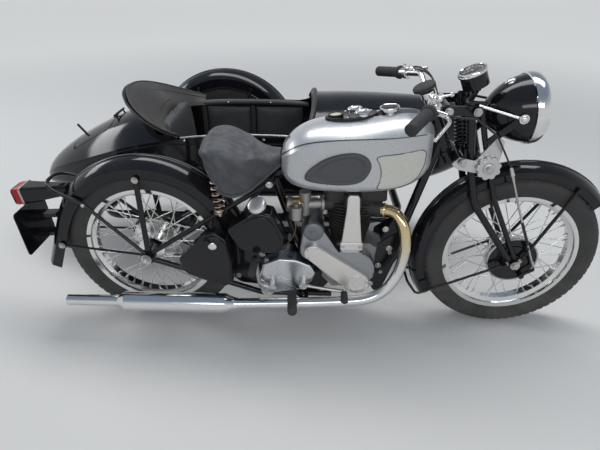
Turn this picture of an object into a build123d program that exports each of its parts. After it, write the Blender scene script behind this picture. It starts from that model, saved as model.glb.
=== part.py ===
from build123d import *
import os
from math import cos, hypot, radians, sin

os.makedirs("parts", exist_ok=True)

# A vintage single-cylinder motorcycle with a girder fork and a rigid rear end, and the single-seat
# sidecar fastened to its left side. It stands on its three wheels on the floor, z = 0.
# All sizes are in millimetres. x points forward, y to the left (the sidecar's side) and z up. The
# pieces are laid out from the floor point under the rear axle, and are moved as they are written so
# that the origin lies under the middle of the whole outfit.

# Wheels and their places
wheelbase = 1372
tyre_radius = 330
tyre_width = 92
rim_radius = 252
rim_width = 72
rim_wall = 3
bead_seat = 240
rim_well = 226
spokes = 40
spoke_radius = 2
hub_radius = 26
spindle_radius = 9
bore_gap = 0.4
rear_axle = Vector(0, 0, tyre_radius)
front_axle = Vector(wheelbase, 0, tyre_radius)
sidecar_track = 1180
sidecar_lead = 110
sidecar_axle = Vector(sidecar_lead, sidecar_track, tyre_radius)

# Steering head
rake = 26
head_middle = Vector(1040, 0, 800)
steering_up = Vector(-sin(radians(rake)), 0, cos(radians(rake)))
steering_out = Vector(cos(radians(rake)), 0, sin(radians(rake)))
head_length = 150
head_radius = 23
stem_radius = 13

# Main frame
tank_tube_radius = 17
down_tube_radius = 16
stay_radius = 9.5
seat_lug = Vector(472, 0, 640)
stay_spread_top = 74
stay_spread_axle = 92

# Mudguards
guard_wall = 2.5
rear_guard_radius = 371
rear_guard_edge = 306
rear_guard_half = 64
front_guard_radius = 374
front_guard_edge = 324
front_guard_half = 48
sidecar_guard_radius = 418
sidecar_guard_edge = 330
sidecar_guard_half = 78

# Engine and gearbox
crank = Vector(775, 0, 300)
cylinder_x = 757
case_side = 58
timing_side = 112
gearbox_side = 110

# Rear chain
chain_y = 61
chain_width = 7
chain_depth = 11
small_sprocket = 31
large_sprocket = 92

# Sidecar
body_inner = 318
body_outer = 878
body_middle = (body_inner + body_outer) / 2
body_wall = 6
body_floor = 352

# Middle of the outfit's outline, where the origin goes
outline_rear = -702
outline_front = wheelbase + tyre_radius
outline_right = -369.6
outline_left = sidecar_track + sidecar_guard_half
middle = Vector((outline_rear + outline_front) / 2, (outline_right + outline_left) / 2, 0)


def steering_point(along, out=0.0, side=0.0):
    """Point at a height along the steering axis, out in front of it and to its left."""
    return head_middle + steering_up * along + steering_out * out + Vector(0, side, 0)


def rod(start, end, radius, end_radius=None, mode=Mode.ADD):
    """Add or cut a straight round bar or a taper between two points in the part being built."""
    start, end = Vector(start), Vector(end)
    place = Plane(origin=start, z_dir=end - start)
    with BuildSketch(place) as section:
        Circle(radius)
    if end_radius is None:
        extrude(section.sketch, amount=(end - start).length, mode=mode)
    else:
        with BuildSketch(place.offset((end - start).length)) as far_section:
            Circle(end_radius)
        loft([section.sketch.face(), far_section.sketch.face()], ruled=True, mode=mode)


def tube(points, radius, bend):
    """Add a round tube of straight runs joined by bends to the part being built."""
    with BuildLine() as route:
        FilletPolyline(*points, radius=bend)
    with BuildSketch(Plane(origin=route.line @ 0, z_dir=route.line % 0)) as section:
        Circle(radius)
    sweep(section.sketch, path=route.line)


def flat_plate(points, side, thickness, corner=0.0):
    """Add a plate in a vertical fore-and-aft plane, from y = side towards the right."""
    with BuildSketch(Plane.XZ.offset(-side)) as outline:
        with BuildLine():
            Polyline(*points, close=True)
        make_face()
        if corner:
            fillet(outline.vertices(), corner)
    extrude(outline.sketch, amount=thickness)


def guard_strip(centre, crown, edge, half_width, start, stop):
    """Add a mudguard's curved strip about a wheel's axis, from one angle to another."""
    up = Vector(cos(radians(start)), 0, sin(radians(start)))
    radial = Plane(origin=centre, x_dir=(0, 1, 0), z_dir=Vector(0, 1, 0).cross(up))
    inner = half_width - guard_wall
    shoulder = edge + (crown - edge) * 0.55
    with BuildSketch(radial) as section:
        with BuildLine():
            Line((-half_width, edge), (-half_width, shoulder))
            ThreePointArc((-half_width, shoulder), (0, crown), (half_width, shoulder))
            Line((half_width, shoulder), (half_width, edge))
            Line((half_width, edge), (inner, edge))
            Line((inner, edge), (inner, shoulder - guard_wall / 2))
            ThreePointArc(
                (inner, shoulder - guard_wall / 2),
                (0, crown - guard_wall),
                (-inner, shoulder - guard_wall / 2),
            )
            Line((-inner, shoulder - guard_wall / 2), (-inner, edge))
            Line((-inner, edge), (-half_width, edge))
        make_face()
    revolve(section.sketch, axis=Axis(centre, (0, -1, 0)), revolution_arc=stop - start)
    return section.sketch


def hull_section(x, middle_y, half, inset, bottom, side_start, crease, top):
    """Sketch an upright section: flat bottom, rounded lower corners, upright sides and a domed top."""
    corner_out, corner_up = half - inset * 0.24, bottom + (side_start - bottom) * 0.34
    with BuildSketch(Plane.YZ.offset(x)) as section:
        with BuildLine():
            Line((middle_y + half - inset, bottom), (middle_y - half + inset, bottom))
            for side in (-1, 1):
                ThreePointArc(
                    (middle_y + side * (half - inset), bottom),
                    (middle_y + side * corner_out, corner_up),
                    (middle_y + side * half, side_start),
                )
                Line((middle_y + side * half, side_start), (middle_y + side * (half - 3), crease))
            ThreePointArc((middle_y + half - 3, crease), (middle_y, top), (middle_y - half + 3, crease))
        make_face()
    return section.sketch.face()


def save(piece, name):
    """Label a finished piece, move it to the outfit's middle and write it."""
    shape = piece.part.moved(Location(-middle))
    shape.label = name
    export_step(shape, f"parts/{name}.step")


# Wheels: a rolled rim with a well, a hub with spoke flanges, and spokes laced from each flange to the
# middle of the rim, every second one leaning forward and the others back.
rim_profile = (
    (0, rim_well),
    (12, rim_well),
    (20, bead_seat),
    (rim_width / 2 - 6, bead_seat),
    (rim_width / 2 - 3, rim_radius),
    (rim_width / 2, rim_radius),
    (rim_width / 2 - 2, bead_seat - rim_wall),
    (21, bead_seat - rim_wall),
    (13, rim_well - rim_wall),
    (0, rim_well - rim_wall),
)
lacing = 55


def spoked_wheel(right_flange, right_place, left_flange, left_place):
    """Build a wheel about the y axis; each flange has its radius and its distance from the middle."""
    with BuildPart() as wheel:
        with BuildSketch(Plane.YZ):
            with BuildLine():
                Polyline(*rim_profile)
                mirror(about=Plane.YZ)
            make_face()
        revolve(axis=Axis.Y)
        with BuildSketch(Plane.XZ.offset(-left_place)):
            Circle(hub_radius)
        extrude(amount=left_place + right_place)
        for side, flange, place in ((-1, right_flange, right_place), (1, left_flange, left_place)):
            with BuildSketch(Plane.XZ.offset(-side * place - 2.5)):
                Circle(flange + 7)
            extrude(amount=5)
            for lean in (-1, 1):
                places = []
                for turn in range(spokes // 4):
                    at_rim = radians(360 / (spokes // 4) * turn + 9 * lean + 4.5 * side)
                    at_hub = at_rim + radians(lacing * lean)
                    foot = Vector(flange * cos(at_hub), side * place, flange * sin(at_hub))
                    nipple_radius = rim_well - rim_wall / 2
                    nipple = Vector(nipple_radius * cos(at_rim), side * 6, nipple_radius * sin(at_rim))
                    places.append(Plane(origin=foot, z_dir=nipple - foot).location)
                length = (nipple - foot).length
                with Locations(*places):
                    Cylinder(spoke_radius, length, align=(Align.CENTER, Align.CENTER, Align.MIN))
    return wheel


# Each wheel: name, axle's place, right flange radius and distance, left flange radius and distance
wheels = (
    ("rear_wheel", rear_axle, 42, 38, 84, 30),
    ("front_wheel", front_axle, 84, 30, 42, 38),
    ("sidecar_wheel", sidecar_axle, 42, 38, 42, 38),
)
rear_drum_width = 24
front_drum_width = 24
for name, axle, right_flange, right_place, left_flange, left_place in wheels:
    spoked = spoked_wheel(right_flange, right_place, left_flange, left_place)
    with BuildPart() as wheel:
        with Locations(axle):
            add(spoked.part)
        if right_flange > 50:
            with BuildSketch(Plane.XZ.offset(right_place)):
                with Locations((axle.X, axle.Z)):
                    Circle(right_flange + 5)
            extrude(amount=front_drum_width)
        if left_flange > 50:
            with BuildSketch(Plane.XZ.offset(-left_place - rear_drum_width)):
                with Locations((axle.X, axle.Z)):
                    Circle(left_flange + 5)
            extrude(amount=rear_drum_width)
            rod((axle.X, left_place, axle.Z), (axle.X, chain_y - 1.5, axle.Z), large_sprocket - 0.5)
        with BuildSketch(Plane.XZ.offset(-axle.Y - 100)):
            with Locations((axle.X, axle.Z)):
                Circle(spindle_radius + bore_gap)
        extrude(amount=200, mode=Mode.SUBTRACT)
    save(wheel, name)

# Tyres: one ring each, seated between the rim's flanges, with the round road section
bead_half = rim_width / 2 - 6.8
bead_foot = bead_seat + 0.3
bead_top = rim_radius + 2
shoulder_half = tyre_width / 2 - 14
with BuildPart() as tyre_ring:
    with BuildSketch(Plane.YZ):
        with BuildLine():
            Polyline((0, bead_foot), (bead_half, bead_foot), (bead_half, bead_top))
            ThreePointArc(
                (bead_half, bead_top),
                (tyre_width / 2, rim_radius + 36),
                (shoulder_half, tyre_radius - 9),
            )
            ThreePointArc(
                (shoulder_half, tyre_radius - 9),
                (shoulder_half / 2, tyre_radius - 2.2),
                (0, tyre_radius),
            )
            mirror(about=Plane.YZ)
        make_face()
    revolve(axis=Axis.Y)
for name, axle, *_ in wheels:
    with BuildPart() as tyre:
        with Locations(axle):
            add(tyre_ring.part)
    save(tyre, name.replace("wheel", "tyre"))

# Steering head with its sockets, and the tank tube that runs back from it to the seat lug
tank_tube_top = steering_point(12)
down_tube_top = steering_point(-20)
down_tube_foot = Vector(958, 0, 416)
socket_length = 62
tunnel = tank_tube_radius + 8
tank_pegs = (110, 430)
tank_tube_way = (seat_lug - tank_tube_top).normalized()
down_tube_way = (down_tube_foot - down_tube_top).normalized()
with BuildPart() as head_and_tank_tube:
    rod(steering_point(-head_length / 2), steering_point(head_length / 2), head_radius)
    for end in (-1, 1):
        cup = steering_point(end * head_length / 2)
        rod(cup, steering_point(end * (head_length / 2 - 12)), head_radius + 5)
    rod(tank_tube_top, tank_tube_top + tank_tube_way * socket_length, tank_tube_radius + 4)
    rod(tank_tube_top, seat_lug - tank_tube_way * 30, tank_tube_radius)
    rod(down_tube_top, down_tube_top + down_tube_way * socket_length, down_tube_radius + 4)
    for distance in tank_pegs:
        peg = tank_tube_top + tank_tube_way * distance - Vector(0, 0, 12)
        rod(peg - Vector(0, tunnel, 0), peg + Vector(0, tunnel, 0), 7)
    with BuildSketch(Plane(origin=steering_point(-head_length / 2), z_dir=steering_up)):
        Circle(stem_radius + bore_gap)
    extrude(amount=head_length, mode=Mode.SUBTRACT)
save(head_and_tank_tube, "head_and_tank_tube")

# Down tube, from the head lug to a cross lug between the front engine plates
front_plate_half = case_side
with BuildPart() as down_tube:
    rod(down_tube_top + down_tube_way * socket_length, down_tube_foot, down_tube_radius)
    lug_reach = Vector(0, front_plate_half, 0)
    rod(down_tube_foot - lug_reach, down_tube_foot + lug_reach, 17)
save(down_tube, "down_tube")

# Seat tube with the seat lug at its top and the gearbox lug at its foot
seat_tube_radius = 15
seat_tube_foot = Vector(592, 0, 276)
plate_half = 44
lug_half = stay_spread_top - 12
with BuildPart() as seat_tube:
    rod(seat_lug, seat_tube_foot, seat_tube_radius)
    rod(seat_lug, seat_lug - tank_tube_way * 30, tank_tube_radius + 4)
    rod(seat_lug + Vector(0, -lug_half, 0), seat_lug + Vector(0, lug_half, 0), 14)
    rod(seat_tube_foot + Vector(0, -plate_half, 0), seat_tube_foot + Vector(0, plate_half, 0), 18)
save(seat_tube, "seat_tube")

# Seat stays: one on each side, from an eye on the seat lug down to the axle lug
stay_foot = Vector(24, 0, 350)
with BuildPart() as seat_stays:
    for side in (-1, 1):
        eye = seat_lug + Vector(0, side * stay_spread_top, 0)
        rod(eye - Vector(0, side * 12, 0), eye + Vector(0, side * 10, 0), 14)
        rod(eye, stay_foot + Vector(0, side * stay_spread_axle, 0), stay_radius)
        rod(eye + Vector(0, side * 10, 0), eye + Vector(0, side * 17, 0), 9)
save(seat_stays, "seat_stays")

# Chain stays: one on each side, from the axle lug down and forward under the gearbox, with the rear
# spindle through both lugs
axle_lug_wall = 9
rail_height = 146
rail_front = 700
with BuildPart() as chain_stays:
    for side in (-1, 1):
        lug_side = side * stay_spread_axle + axle_lug_wall / 2
        lug_outline = ((-34, 312), (-20, 352), (10, 366), (34, 340), (24, 306), (-10, 296))
        flat_plate(lug_outline, lug_side, axle_lug_wall, 6)
        tube(
            (
                Vector(27, side * stay_spread_axle, 315),
                Vector(150, side * 80, 262),
                Vector(420, side * 60, rail_height),
                Vector(rail_front, side * 60, rail_height),
            ),
            11,
            90,
        )
        lug_outer = stay_spread_axle + axle_lug_wall / 2
        spacer_inner = 41 if side < 0 else chain_y
        rod((0, side * spacer_inner, tyre_radius), (0, side * lug_outer, tyre_radius), 15)
        rod((0, side * lug_outer, tyre_radius), (0, side * (lug_outer + 12), tyre_radius), 15)
    rod((0, -116, tyre_radius), (0, 116, tyre_radius), spindle_radius)
    add(seat_stays.part, mode=Mode.SUBTRACT)
save(chain_stays, "chain_stays")

# Crankcase: the flywheel drum, the neck under the cylinder and the lugs for the engine plates
cylinder_foot = 386
with BuildPart() as crankcase:
    with BuildSketch(Plane.XZ.offset(-case_side)):
        with Locations((crank.X, crank.Z)):
            Circle(104)
        with BuildLine():
            Polyline(
                (cylinder_x - 62, cylinder_foot),
                (cylinder_x + 62, cylinder_foot),
                (885, 360),
                (885, 240),
                (840, 185),
                (700, 185),
                (660, 230),
                (660, 350),
                close=True,
            )
        make_face()
    extrude(amount=2 * case_side)
    with BuildSketch(Plane.XY.offset(cylinder_foot)):
        with Locations((cylinder_x, 0)):
            Rectangle(260, 140)
    extrude(amount=40, mode=Mode.SUBTRACT)
save(crankcase, "crankcase")

# Front and rear engine plates, with the footrests: a hanger on each side of the rear plates, out over
# the exhaust pipe, and a rubber pad on it
footrest_x = 548
footrest_z = 250
with BuildPart() as engine_plates:
    front_outline = (
        (862, 388),
        (930, 440),
        (975, 440),
        (982, 400),
        (930, 300),
        (896, 186),
        (866, 166),
        (848, 200),
    )
    rear_outline = (
        (560, 330),
        (600, 372),
        (664, 372),
        (684, 300),
        (684, 190),
        (640, 136),
        (480, 136),
        (470, 176),
    )
    for side in (-1, 1):
        flat_plate(front_outline, side * (front_plate_half + 2.5) + 2.5, 5, 10)
        flat_plate(rear_outline, side * (plate_half + 2.5) + 2.5, 5, 12)
    for side, reach in ((-1, 300), (1, 240)):
        tube(
            (
                Vector(footrest_x + 52, side * (plate_half + 3), 160),
                Vector(footrest_x + 52, side * 128, 160),
                Vector(footrest_x, side * 128, 222),
                Vector(footrest_x, side * 190, footrest_z),
            ),
            8,
            16,
        )
        rod((footrest_x, side * 176, footrest_z - 6), (footrest_x + 6, side * reach, footrest_z + 3), 12)
    add(crankcase.part, mode=Mode.SUBTRACT)
    add(chain_stays.part, mode=Mode.SUBTRACT)
save(engine_plates, "engine_plates")

# Timing case: the round gear case at the crankshaft, the inclined cover up to the magneto, the raised
# polished inner cover, and the seat for the pushrod tower
cover_low = Vector(790, 0, 252)
cover_high = Vector(620, 0, 386)
magneto = Vector(622, 0, 464)
tower_foot = 380
with BuildPart() as timing_case:
    with BuildSketch(Plane.XZ.offset(case_side)):
        with Locations((crank.X, crank.Z)):
            Circle(78)
        with Locations((cover_high.X, cover_high.Z)):
            Circle(46)
        with Locations((magneto.X, magneto.Z)):
            Circle(38)
        with BuildLine():
            Polyline(
                (584, 464),
                (574, 386),
                (700, 240),
                (850, 280),
                (800, tower_foot),
                (714, tower_foot),
                (660, 464),
                close=True,
            )
        make_face()
    extrude(amount=timing_side - case_side)
    edges_out = timing_case.faces().sort_by(Axis.Y)[0].edges()
    chamfer(edges_out, 3)
    with BuildSketch(Plane.XZ.offset(timing_side)):
        with Locations((cover_low.X, cover_low.Z)):
            Circle(35)
        with Locations((cover_high.X, cover_high.Z)):
            Circle(29)
        make_hull()
    extrude(amount=16)
save(timing_case, "timing_case")

# Cylinder: the finned iron barrel on the crankcase
barrel_top = 508
fin_radius = 79
fin_pitch = 12.5
barrel_fins = 9
with BuildPart() as cylinder:
    with BuildSketch(Plane.XY.offset(cylinder_foot)):
        with Locations((cylinder_x, 0)):
            Circle(47)
    extrude(amount=barrel_top - cylinder_foot)
    for fin in range(barrel_fins):
        with BuildSketch(Plane.XY.offset(cylinder_foot + 12 + fin * fin_pitch)):
            with Locations((cylinder_x, 0)):
                Circle(fin_radius - 10 + min(fin, 4) * 2.5)
        extrude(amount=3)
    with BuildSketch(Plane.XY.offset(cylinder_foot)):
        with Locations((cylinder_x, 0)):
            RectangleRounded(116, 112, 14)
    extrude(amount=8)
save(cylinder, "cylinder")

# Cylinder head: the finned head with the inlet stub behind and the exhaust port in front on the right,
# and the rocker housing above it
head_top = 560
rocker_top = 612
head_fins = 4
port_root = Vector(cylinder_x + 20, -30, 535)
port = Vector(862, -58, 534)
port_way = (port - port_root).normalized()
inlet_root = Vector(cylinder_x - 20, -26, 541)
inlet = Vector(655, -38, 542)
inlet_way = (inlet - inlet_root).normalized()
with BuildPart() as cylinder_head:
    with BuildSketch(Plane.XY.offset(barrel_top)):
        with Locations((cylinder_x, 0)):
            Circle(62)
    extrude(amount=head_top - barrel_top)
    for fin in range(head_fins):
        with BuildSketch(Plane.XY.offset(barrel_top + 4 + fin * fin_pitch)):
            with Locations((cylinder_x + 4, 0)):
                RectangleRounded(174, 150, 56)
        extrude(amount=3)
    with BuildSketch(Plane.XY.offset(head_top)):
        with Locations((cylinder_x + 14, -6)):
            RectangleRounded(226, 92, 22)
        with Locations((cylinder_x, -62)):
            RectangleRounded(62, 96, 16)
    extrude(amount=rocker_top - head_top - 12, taper=3)
    with BuildSketch(Plane.XY.offset(head_top + 40)):
        with Locations((cylinder_x + 10, -4)):
            RectangleRounded(190, 70, 20)
    extrude(amount=12, taper=10)
    rod(port_root, port, 26)
    rod(inlet_root, inlet, 24)
save(cylinder_head, "cylinder_head")

# Pushrod tower: the tapered polished tube between the timing case and the rocker housing
tower_y = -timing_side + 21
tower_top = head_top - 0.3
with BuildPart() as pushrod_tower:
    with BuildSketch(Plane.XY.offset(tower_foot)):
        with Locations((cylinder_x, tower_y)):
            RectangleRounded(72, 42, 8)
    extrude(amount=34)
    with BuildSketch(Plane.XY.offset(tower_foot + 34)):
        with Locations((cylinder_x, tower_y)):
            RectangleRounded(60, 38, 14)
    with BuildSketch(Plane.XY.offset(tower_top)):
        with Locations((cylinder_x, tower_y)):
            RectangleRounded(42, 34, 14)
    loft()
    add(cylinder_head.part, mode=Mode.SUBTRACT)
    add(cylinder.part, mode=Mode.SUBTRACT)
save(pushrod_tower, "pushrod_tower")

# Carburettor: flange and mixing chamber behind the head, float chamber beside it, intake bell behind
mixer = inlet + inlet_way * 66
bell_back = Vector(530, -58, 548)
with BuildPart() as carburettor:
    rod(inlet, inlet + inlet_way * 9, 30)
    rod(inlet, mixer, 19)
    rod(mixer - Vector(0, 0, 36), mixer + Vector(0, 0, 52), 21)
    rod(mixer, bell_back + Vector(24, 0, 0), 19)
    rod(bell_back + Vector(24, 0, 0), bell_back, 21, 32)
    rod(mixer + Vector(-30, -42, -34), mixer + Vector(-30, -42, 14), 24)
    rod(mixer + Vector(0, 0, -24), mixer + Vector(-30, -42, -24), 9)
    rod(mixer + Vector(-30, -42, 14), mixer + Vector(-30, -42, 24), 10)
save(carburettor, "carburettor")

# Magneto and dynamo: two cylinders across the frame behind the cylinder, one on top of the other
with BuildPart() as magneto_dynamo:
    rod((magneto.X, -case_side, magneto.Z), (magneto.X, 96, magneto.Z), 36)
    with BuildSketch(Plane.XZ.offset(case_side)):
        with Locations((magneto.X - 2, magneto.Z - 62)):
            RectangleRounded(84, 76, 14)
    extrude(amount=-(case_side + 66))
    add(crankcase.part, mode=Mode.SUBTRACT)
    add(seat_tube.part, mode=Mode.SUBTRACT)
    add(engine_plates.part, mode=Mode.SUBTRACT)
save(magneto_dynamo, "magneto_dynamo")

# Exhaust pipe: out of the port, round and down past the crankcase, back along the right side
pipe_radius = 21
silencer_y = -168
silencer_z = 174
silencer_mouth = 344
with BuildPart() as exhaust_pipe:
    tube(
        (
            port,
            port + port_way * 95,
            Vector(944, -134, 400),
            Vector(928, -140, 262),
            Vector(846, -152, silencer_z),
            Vector(700, silencer_y, silencer_z),
            Vector(silencer_mouth, silencer_y, silencer_z),
        ),
        pipe_radius,
        58,
    )
    rod(port + port_way * 4, port + port_way * 16, 24)
save(exhaust_pipe, "exhaust_pipe")

# Silencer: front cone, plain round body, rear cone and tail pipe, all about one line
silencer_radius = 38
silencer_profile = (
    (silencer_mouth, 0),
    (silencer_mouth, pipe_radius + 2),
    (330, pipe_radius + 3),
    (296, silencer_radius),
    (-84, silencer_radius),
    (-110, pipe_radius + 3),
    (-112, pipe_radius),
    (-306, pipe_radius),
    (-306, pipe_radius - 2),
    (-200, pipe_radius - 2),
    (-200, 0),
)
with BuildPart() as silencer:
    with BuildSketch(Plane.XZ.offset(-silencer_y)):
        with BuildLine():
            Polyline(*[(x, silencer_z + r) for x, r in silencer_profile], close=True)
        make_face()
    revolve(axis=Axis((0, silencer_y, silencer_z), (1, 0, 0)))
save(silencer, "silencer")

# Gearbox: the shell between the plates, the polished outer cover and the kick-start case
gearbox_outline = (
    (410, 236),
    (436, 316),
    (496, 342),
    (560, 338),
    (616, 314),
    (634, 280),
    (620, 240),
    (578, 200),
    (462, 178),
    (416, 200),
)
mainshaft = Vector(520, 0, 262)
with BuildPart() as gearbox:
    with BuildSketch(Plane.XZ.offset(plate_half + 6)):
        with BuildLine():
            Polyline(*gearbox_outline, close=True)
        make_face()
        fillet(vertices(), 16)
    extrude(amount=gearbox_side - plate_half - 6)
    cover_edges = gearbox.faces().sort_by(Axis.Y)[0].edges()
    fillet(cover_edges, 9)
    rod(mainshaft - Vector(0, plate_half + 6, 0), mainshaft + Vector(0, 52, 0), 46)
    add(engine_plates.part, mode=Mode.SUBTRACT)
    add(seat_tube.part, mode=Mode.SUBTRACT)
save(gearbox, "gearbox")

# Foot levers on the gearbox: the gear lever, with its arm running forward to a rubber toe piece, and
# the kick-starter, whose curved arm rises to the rear with a folding pedal at its top
gear_boss = Vector(588, -gearbox_side, 238)
toe = Vector(742, -150, 222)
kick_boss = Vector(470, -gearbox_side, 226)
kick_knee = Vector(424, -132, 240)
kick_top = Vector(412, -140, 366)
with BuildPart() as foot_levers:
    rod(gear_boss, gear_boss - Vector(0, 26, 0), 15)
    rod(gear_boss - Vector(0, 18, 0), toe + Vector(0, 8, 0), 6.5)
    rod(toe + Vector(0, 12, 0), toe - Vector(0, 48, 0), 9.5)
    rod(kick_boss, kick_boss - Vector(0, 28, 0), 17)
    tube((kick_boss - Vector(4, 20, 0), kick_knee, kick_top + Vector(0, 0, 6)), 8, 30)
    rod(kick_top, kick_top - Vector(0, 16, 2), 10)
    rod(kick_top - Vector(0, 16, 2), kick_top - Vector(2, 86, 10), 11)
save(foot_levers, "foot_levers")

# Rear chain on the left: one closed loop round the gearbox sprocket and the wheel sprocket, with both
# sprockets' discs clear inside it
with BuildPart() as rear_chain:
    with BuildSketch(Plane.XZ.offset(-chain_y)):
        with Locations((mainshaft.X, mainshaft.Z)):
            Circle(small_sprocket + chain_depth)
        with Locations((rear_axle.X, rear_axle.Z)):
            Circle(large_sprocket + chain_depth)
        make_hull()
    extrude(amount=chain_width)
    with BuildSketch(Plane.XZ.offset(-chain_y)):
        with Locations((mainshaft.X, mainshaft.Z)):
            Circle(small_sprocket + 0.5)
        with Locations((rear_axle.X, rear_axle.Z)):
            Circle(large_sprocket + 0.5)
        make_hull()
    extrude(amount=chain_width, mode=Mode.SUBTRACT)
    add(chain_stays.part, mode=Mode.SUBTRACT)
save(rear_chain, "rear_chain")

# Primary chaincase on the left: an oval tin case from the crankshaft to the clutch, and the
# chainguard, a folded strip over the rear chain's top run
chaincase_inner = 64
chaincase_outer = 116
guard_rise = 14
with BuildPart() as primary_case:
    with BuildSketch(Plane.XZ.offset(-chaincase_outer)):
        with Locations((crank.X, crank.Z - 4)):
            Circle(68)
        with Locations((mainshaft.X, mainshaft.Z)):
            Circle(92)
        make_hull()
    extrude(amount=chaincase_outer - chaincase_inner)
    fillet(primary_case.faces().sort_by(Axis.Y)[-1].edges(), 12)
    with BuildSketch(Plane.XZ.offset(-chaincase_outer - 8)):
        with Locations((mainshaft.X, mainshaft.Z)):
            Circle(46)
    extrude(amount=10)
    rod(crank + Vector(0, case_side, 0), crank + Vector(0, chaincase_inner + 4, 0), 40)
    top_run = (
        (mainshaft.X - 96, mainshaft.Z + small_sprocket + chain_depth + 22),
        (rear_axle.X - 10, rear_axle.Z + large_sprocket + chain_depth + guard_rise),
    )
    with BuildSketch(Plane.XZ.offset(-chain_y - 5)):
        with BuildLine():
            Polyline(
                top_run[0],
                top_run[1],
                (top_run[1][0] - 60, top_run[1][1] - 14),
                (top_run[1][0] - 66, top_run[1][1] - 40),
                (top_run[1][0] - 10, top_run[1][1] - 26),
                (top_run[0][0], top_run[0][1] - 30),
                close=True,
            )
        make_face()
    extrude(amount=chain_width + 10)
    with BuildSketch(Plane.XZ.offset(-chain_y - 3)):
        with BuildLine():
            Polyline(
                (top_run[0][0] + 20, top_run[0][1] - 4),
                (top_run[1][0], top_run[1][1] - 4),
                (top_run[1][0] - 80, top_run[1][1] - 20),
                (top_run[1][0] - 90, top_run[1][1] - 60),
                (top_run[1][0] - 10, top_run[1][1] - 60),
                (top_run[0][0] + 20, top_run[0][1] - 60),
                close=True,
            )
        make_face()
    extrude(amount=chain_width + 6, mode=Mode.SUBTRACT)
    rod(rear_axle + Vector(0, 40, 0), rear_axle + Vector(0, 70, 0), large_sprocket + 6, mode=Mode.SUBTRACT)
    rod((130, chain_y, 402), (130, 84, 414), 6)
    add(rear_chain.part, mode=Mode.SUBTRACT)
    add(seat_stays.part, mode=Mode.SUBTRACT)
save(primary_case, "primary_case")

# Oil tank and toolbox: deep drawn boxes on the right, below the seat stay
oil_tank_outline = (
    (315, 479),
    (424, 554),
    (478, 543),
    (518, 455),
    (518, 417),
    (496, 388),
    (380, 385),
    (350, 410),
)
toolbox_outline = (
    (132, 352),
    (236, 462),
    (270, 470),
    (311, 440),
    (326, 348),
    (326, 254),
    (297, 232),
    (222, 256),
    (158, 284),
    (136, 310),
)
box_face = 142
oil_tank_back = 68
toolbox_back = 100
filler = Vector(433, -118, 556)
with BuildPart() as oil_tank:
    with BuildSketch(Plane.XZ.offset(oil_tank_back)):
        with BuildLine():
            Polyline(*oil_tank_outline, close=True)
        make_face()
        fillet(vertices(), 14)
    extrude(amount=box_face - oil_tank_back)
    fillet(oil_tank.faces().sort_by(Axis.Y)[0].edges(), 10)
    filler_way = Vector(-0.3, -0.35, 0.9).normalized()
    rod(filler - filler_way * 16, filler + filler_way * 16, 24)
    rod(filler + filler_way * 16, filler + filler_way * 30, 29)
    rod((470, -oil_tank_back - 2, 482), (530, 0, 482), 9)
    add(seat_tube.part, mode=Mode.SUBTRACT)
save(oil_tank, "oil_tank")
with BuildPart() as toolbox:
    with BuildSketch(Plane.XZ.offset(toolbox_back)):
        with BuildLine():
            Polyline(*toolbox_outline, close=True)
        make_face()
        fillet(vertices(), 12)
    extrude(amount=box_face - toolbox_back)
    fillet(toolbox.faces().sort_by(Axis.Y)[0].edges(), 9)
    rod((244, -box_face, 434), (244, -box_face - 12, 434), 11)
    rod((254, -toolbox_back - 4, 452), (254, -84, 494), 6)
    rod((214, -toolbox_back - 4, 268), (200, -78, 242), 6)
    add(seat_stays.part, mode=Mode.SUBTRACT)
    add(chain_stays.part, mode=Mode.SUBTRACT)
save(toolbox, "toolbox")

# Fuel tank: a loft through upright sections. Each section has a flat bottom, rounded lower corners, an
# upright side to the crease, and a dome from crease to crease.
# x, half width, bottom z, z where the side starts, z of the crease, top z
tank_sections = (
    (508, 62, 664, 690, 722, 742),
    (540, 98, 634, 676, 752, 790),
    (610, 120, 622, 664, 790, 830),
    (750, 130, 620, 662, 816, 854),
    (880, 126, 630, 672, 824, 872),
    (968, 100, 656, 694, 830, 872),
    (1006, 70, 700, 720, 812, 850),
)
tank_slot = 46
with BuildPart() as fuel_tank:
    loft([hull_section(x, 0, half, 40, *heights) for x, half, *heights in tank_sections])
    rod(steering_point(-150), steering_point(150), tank_slot, mode=Mode.SUBTRACT)
    with BuildSketch(Plane(origin=tank_tube_top, x_dir=(0, 1, 0), z_dir=tank_tube_way)):
        Circle(tunnel)
        with Locations((0, -60)):
            Rectangle(2 * tunnel, 120)
    extrude(amount=(seat_lug - tank_tube_top).length, mode=Mode.SUBTRACT)
    add(head_and_tank_tube.part, mode=Mode.SUBTRACT)
save(fuel_tank, "fuel_tank")

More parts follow.
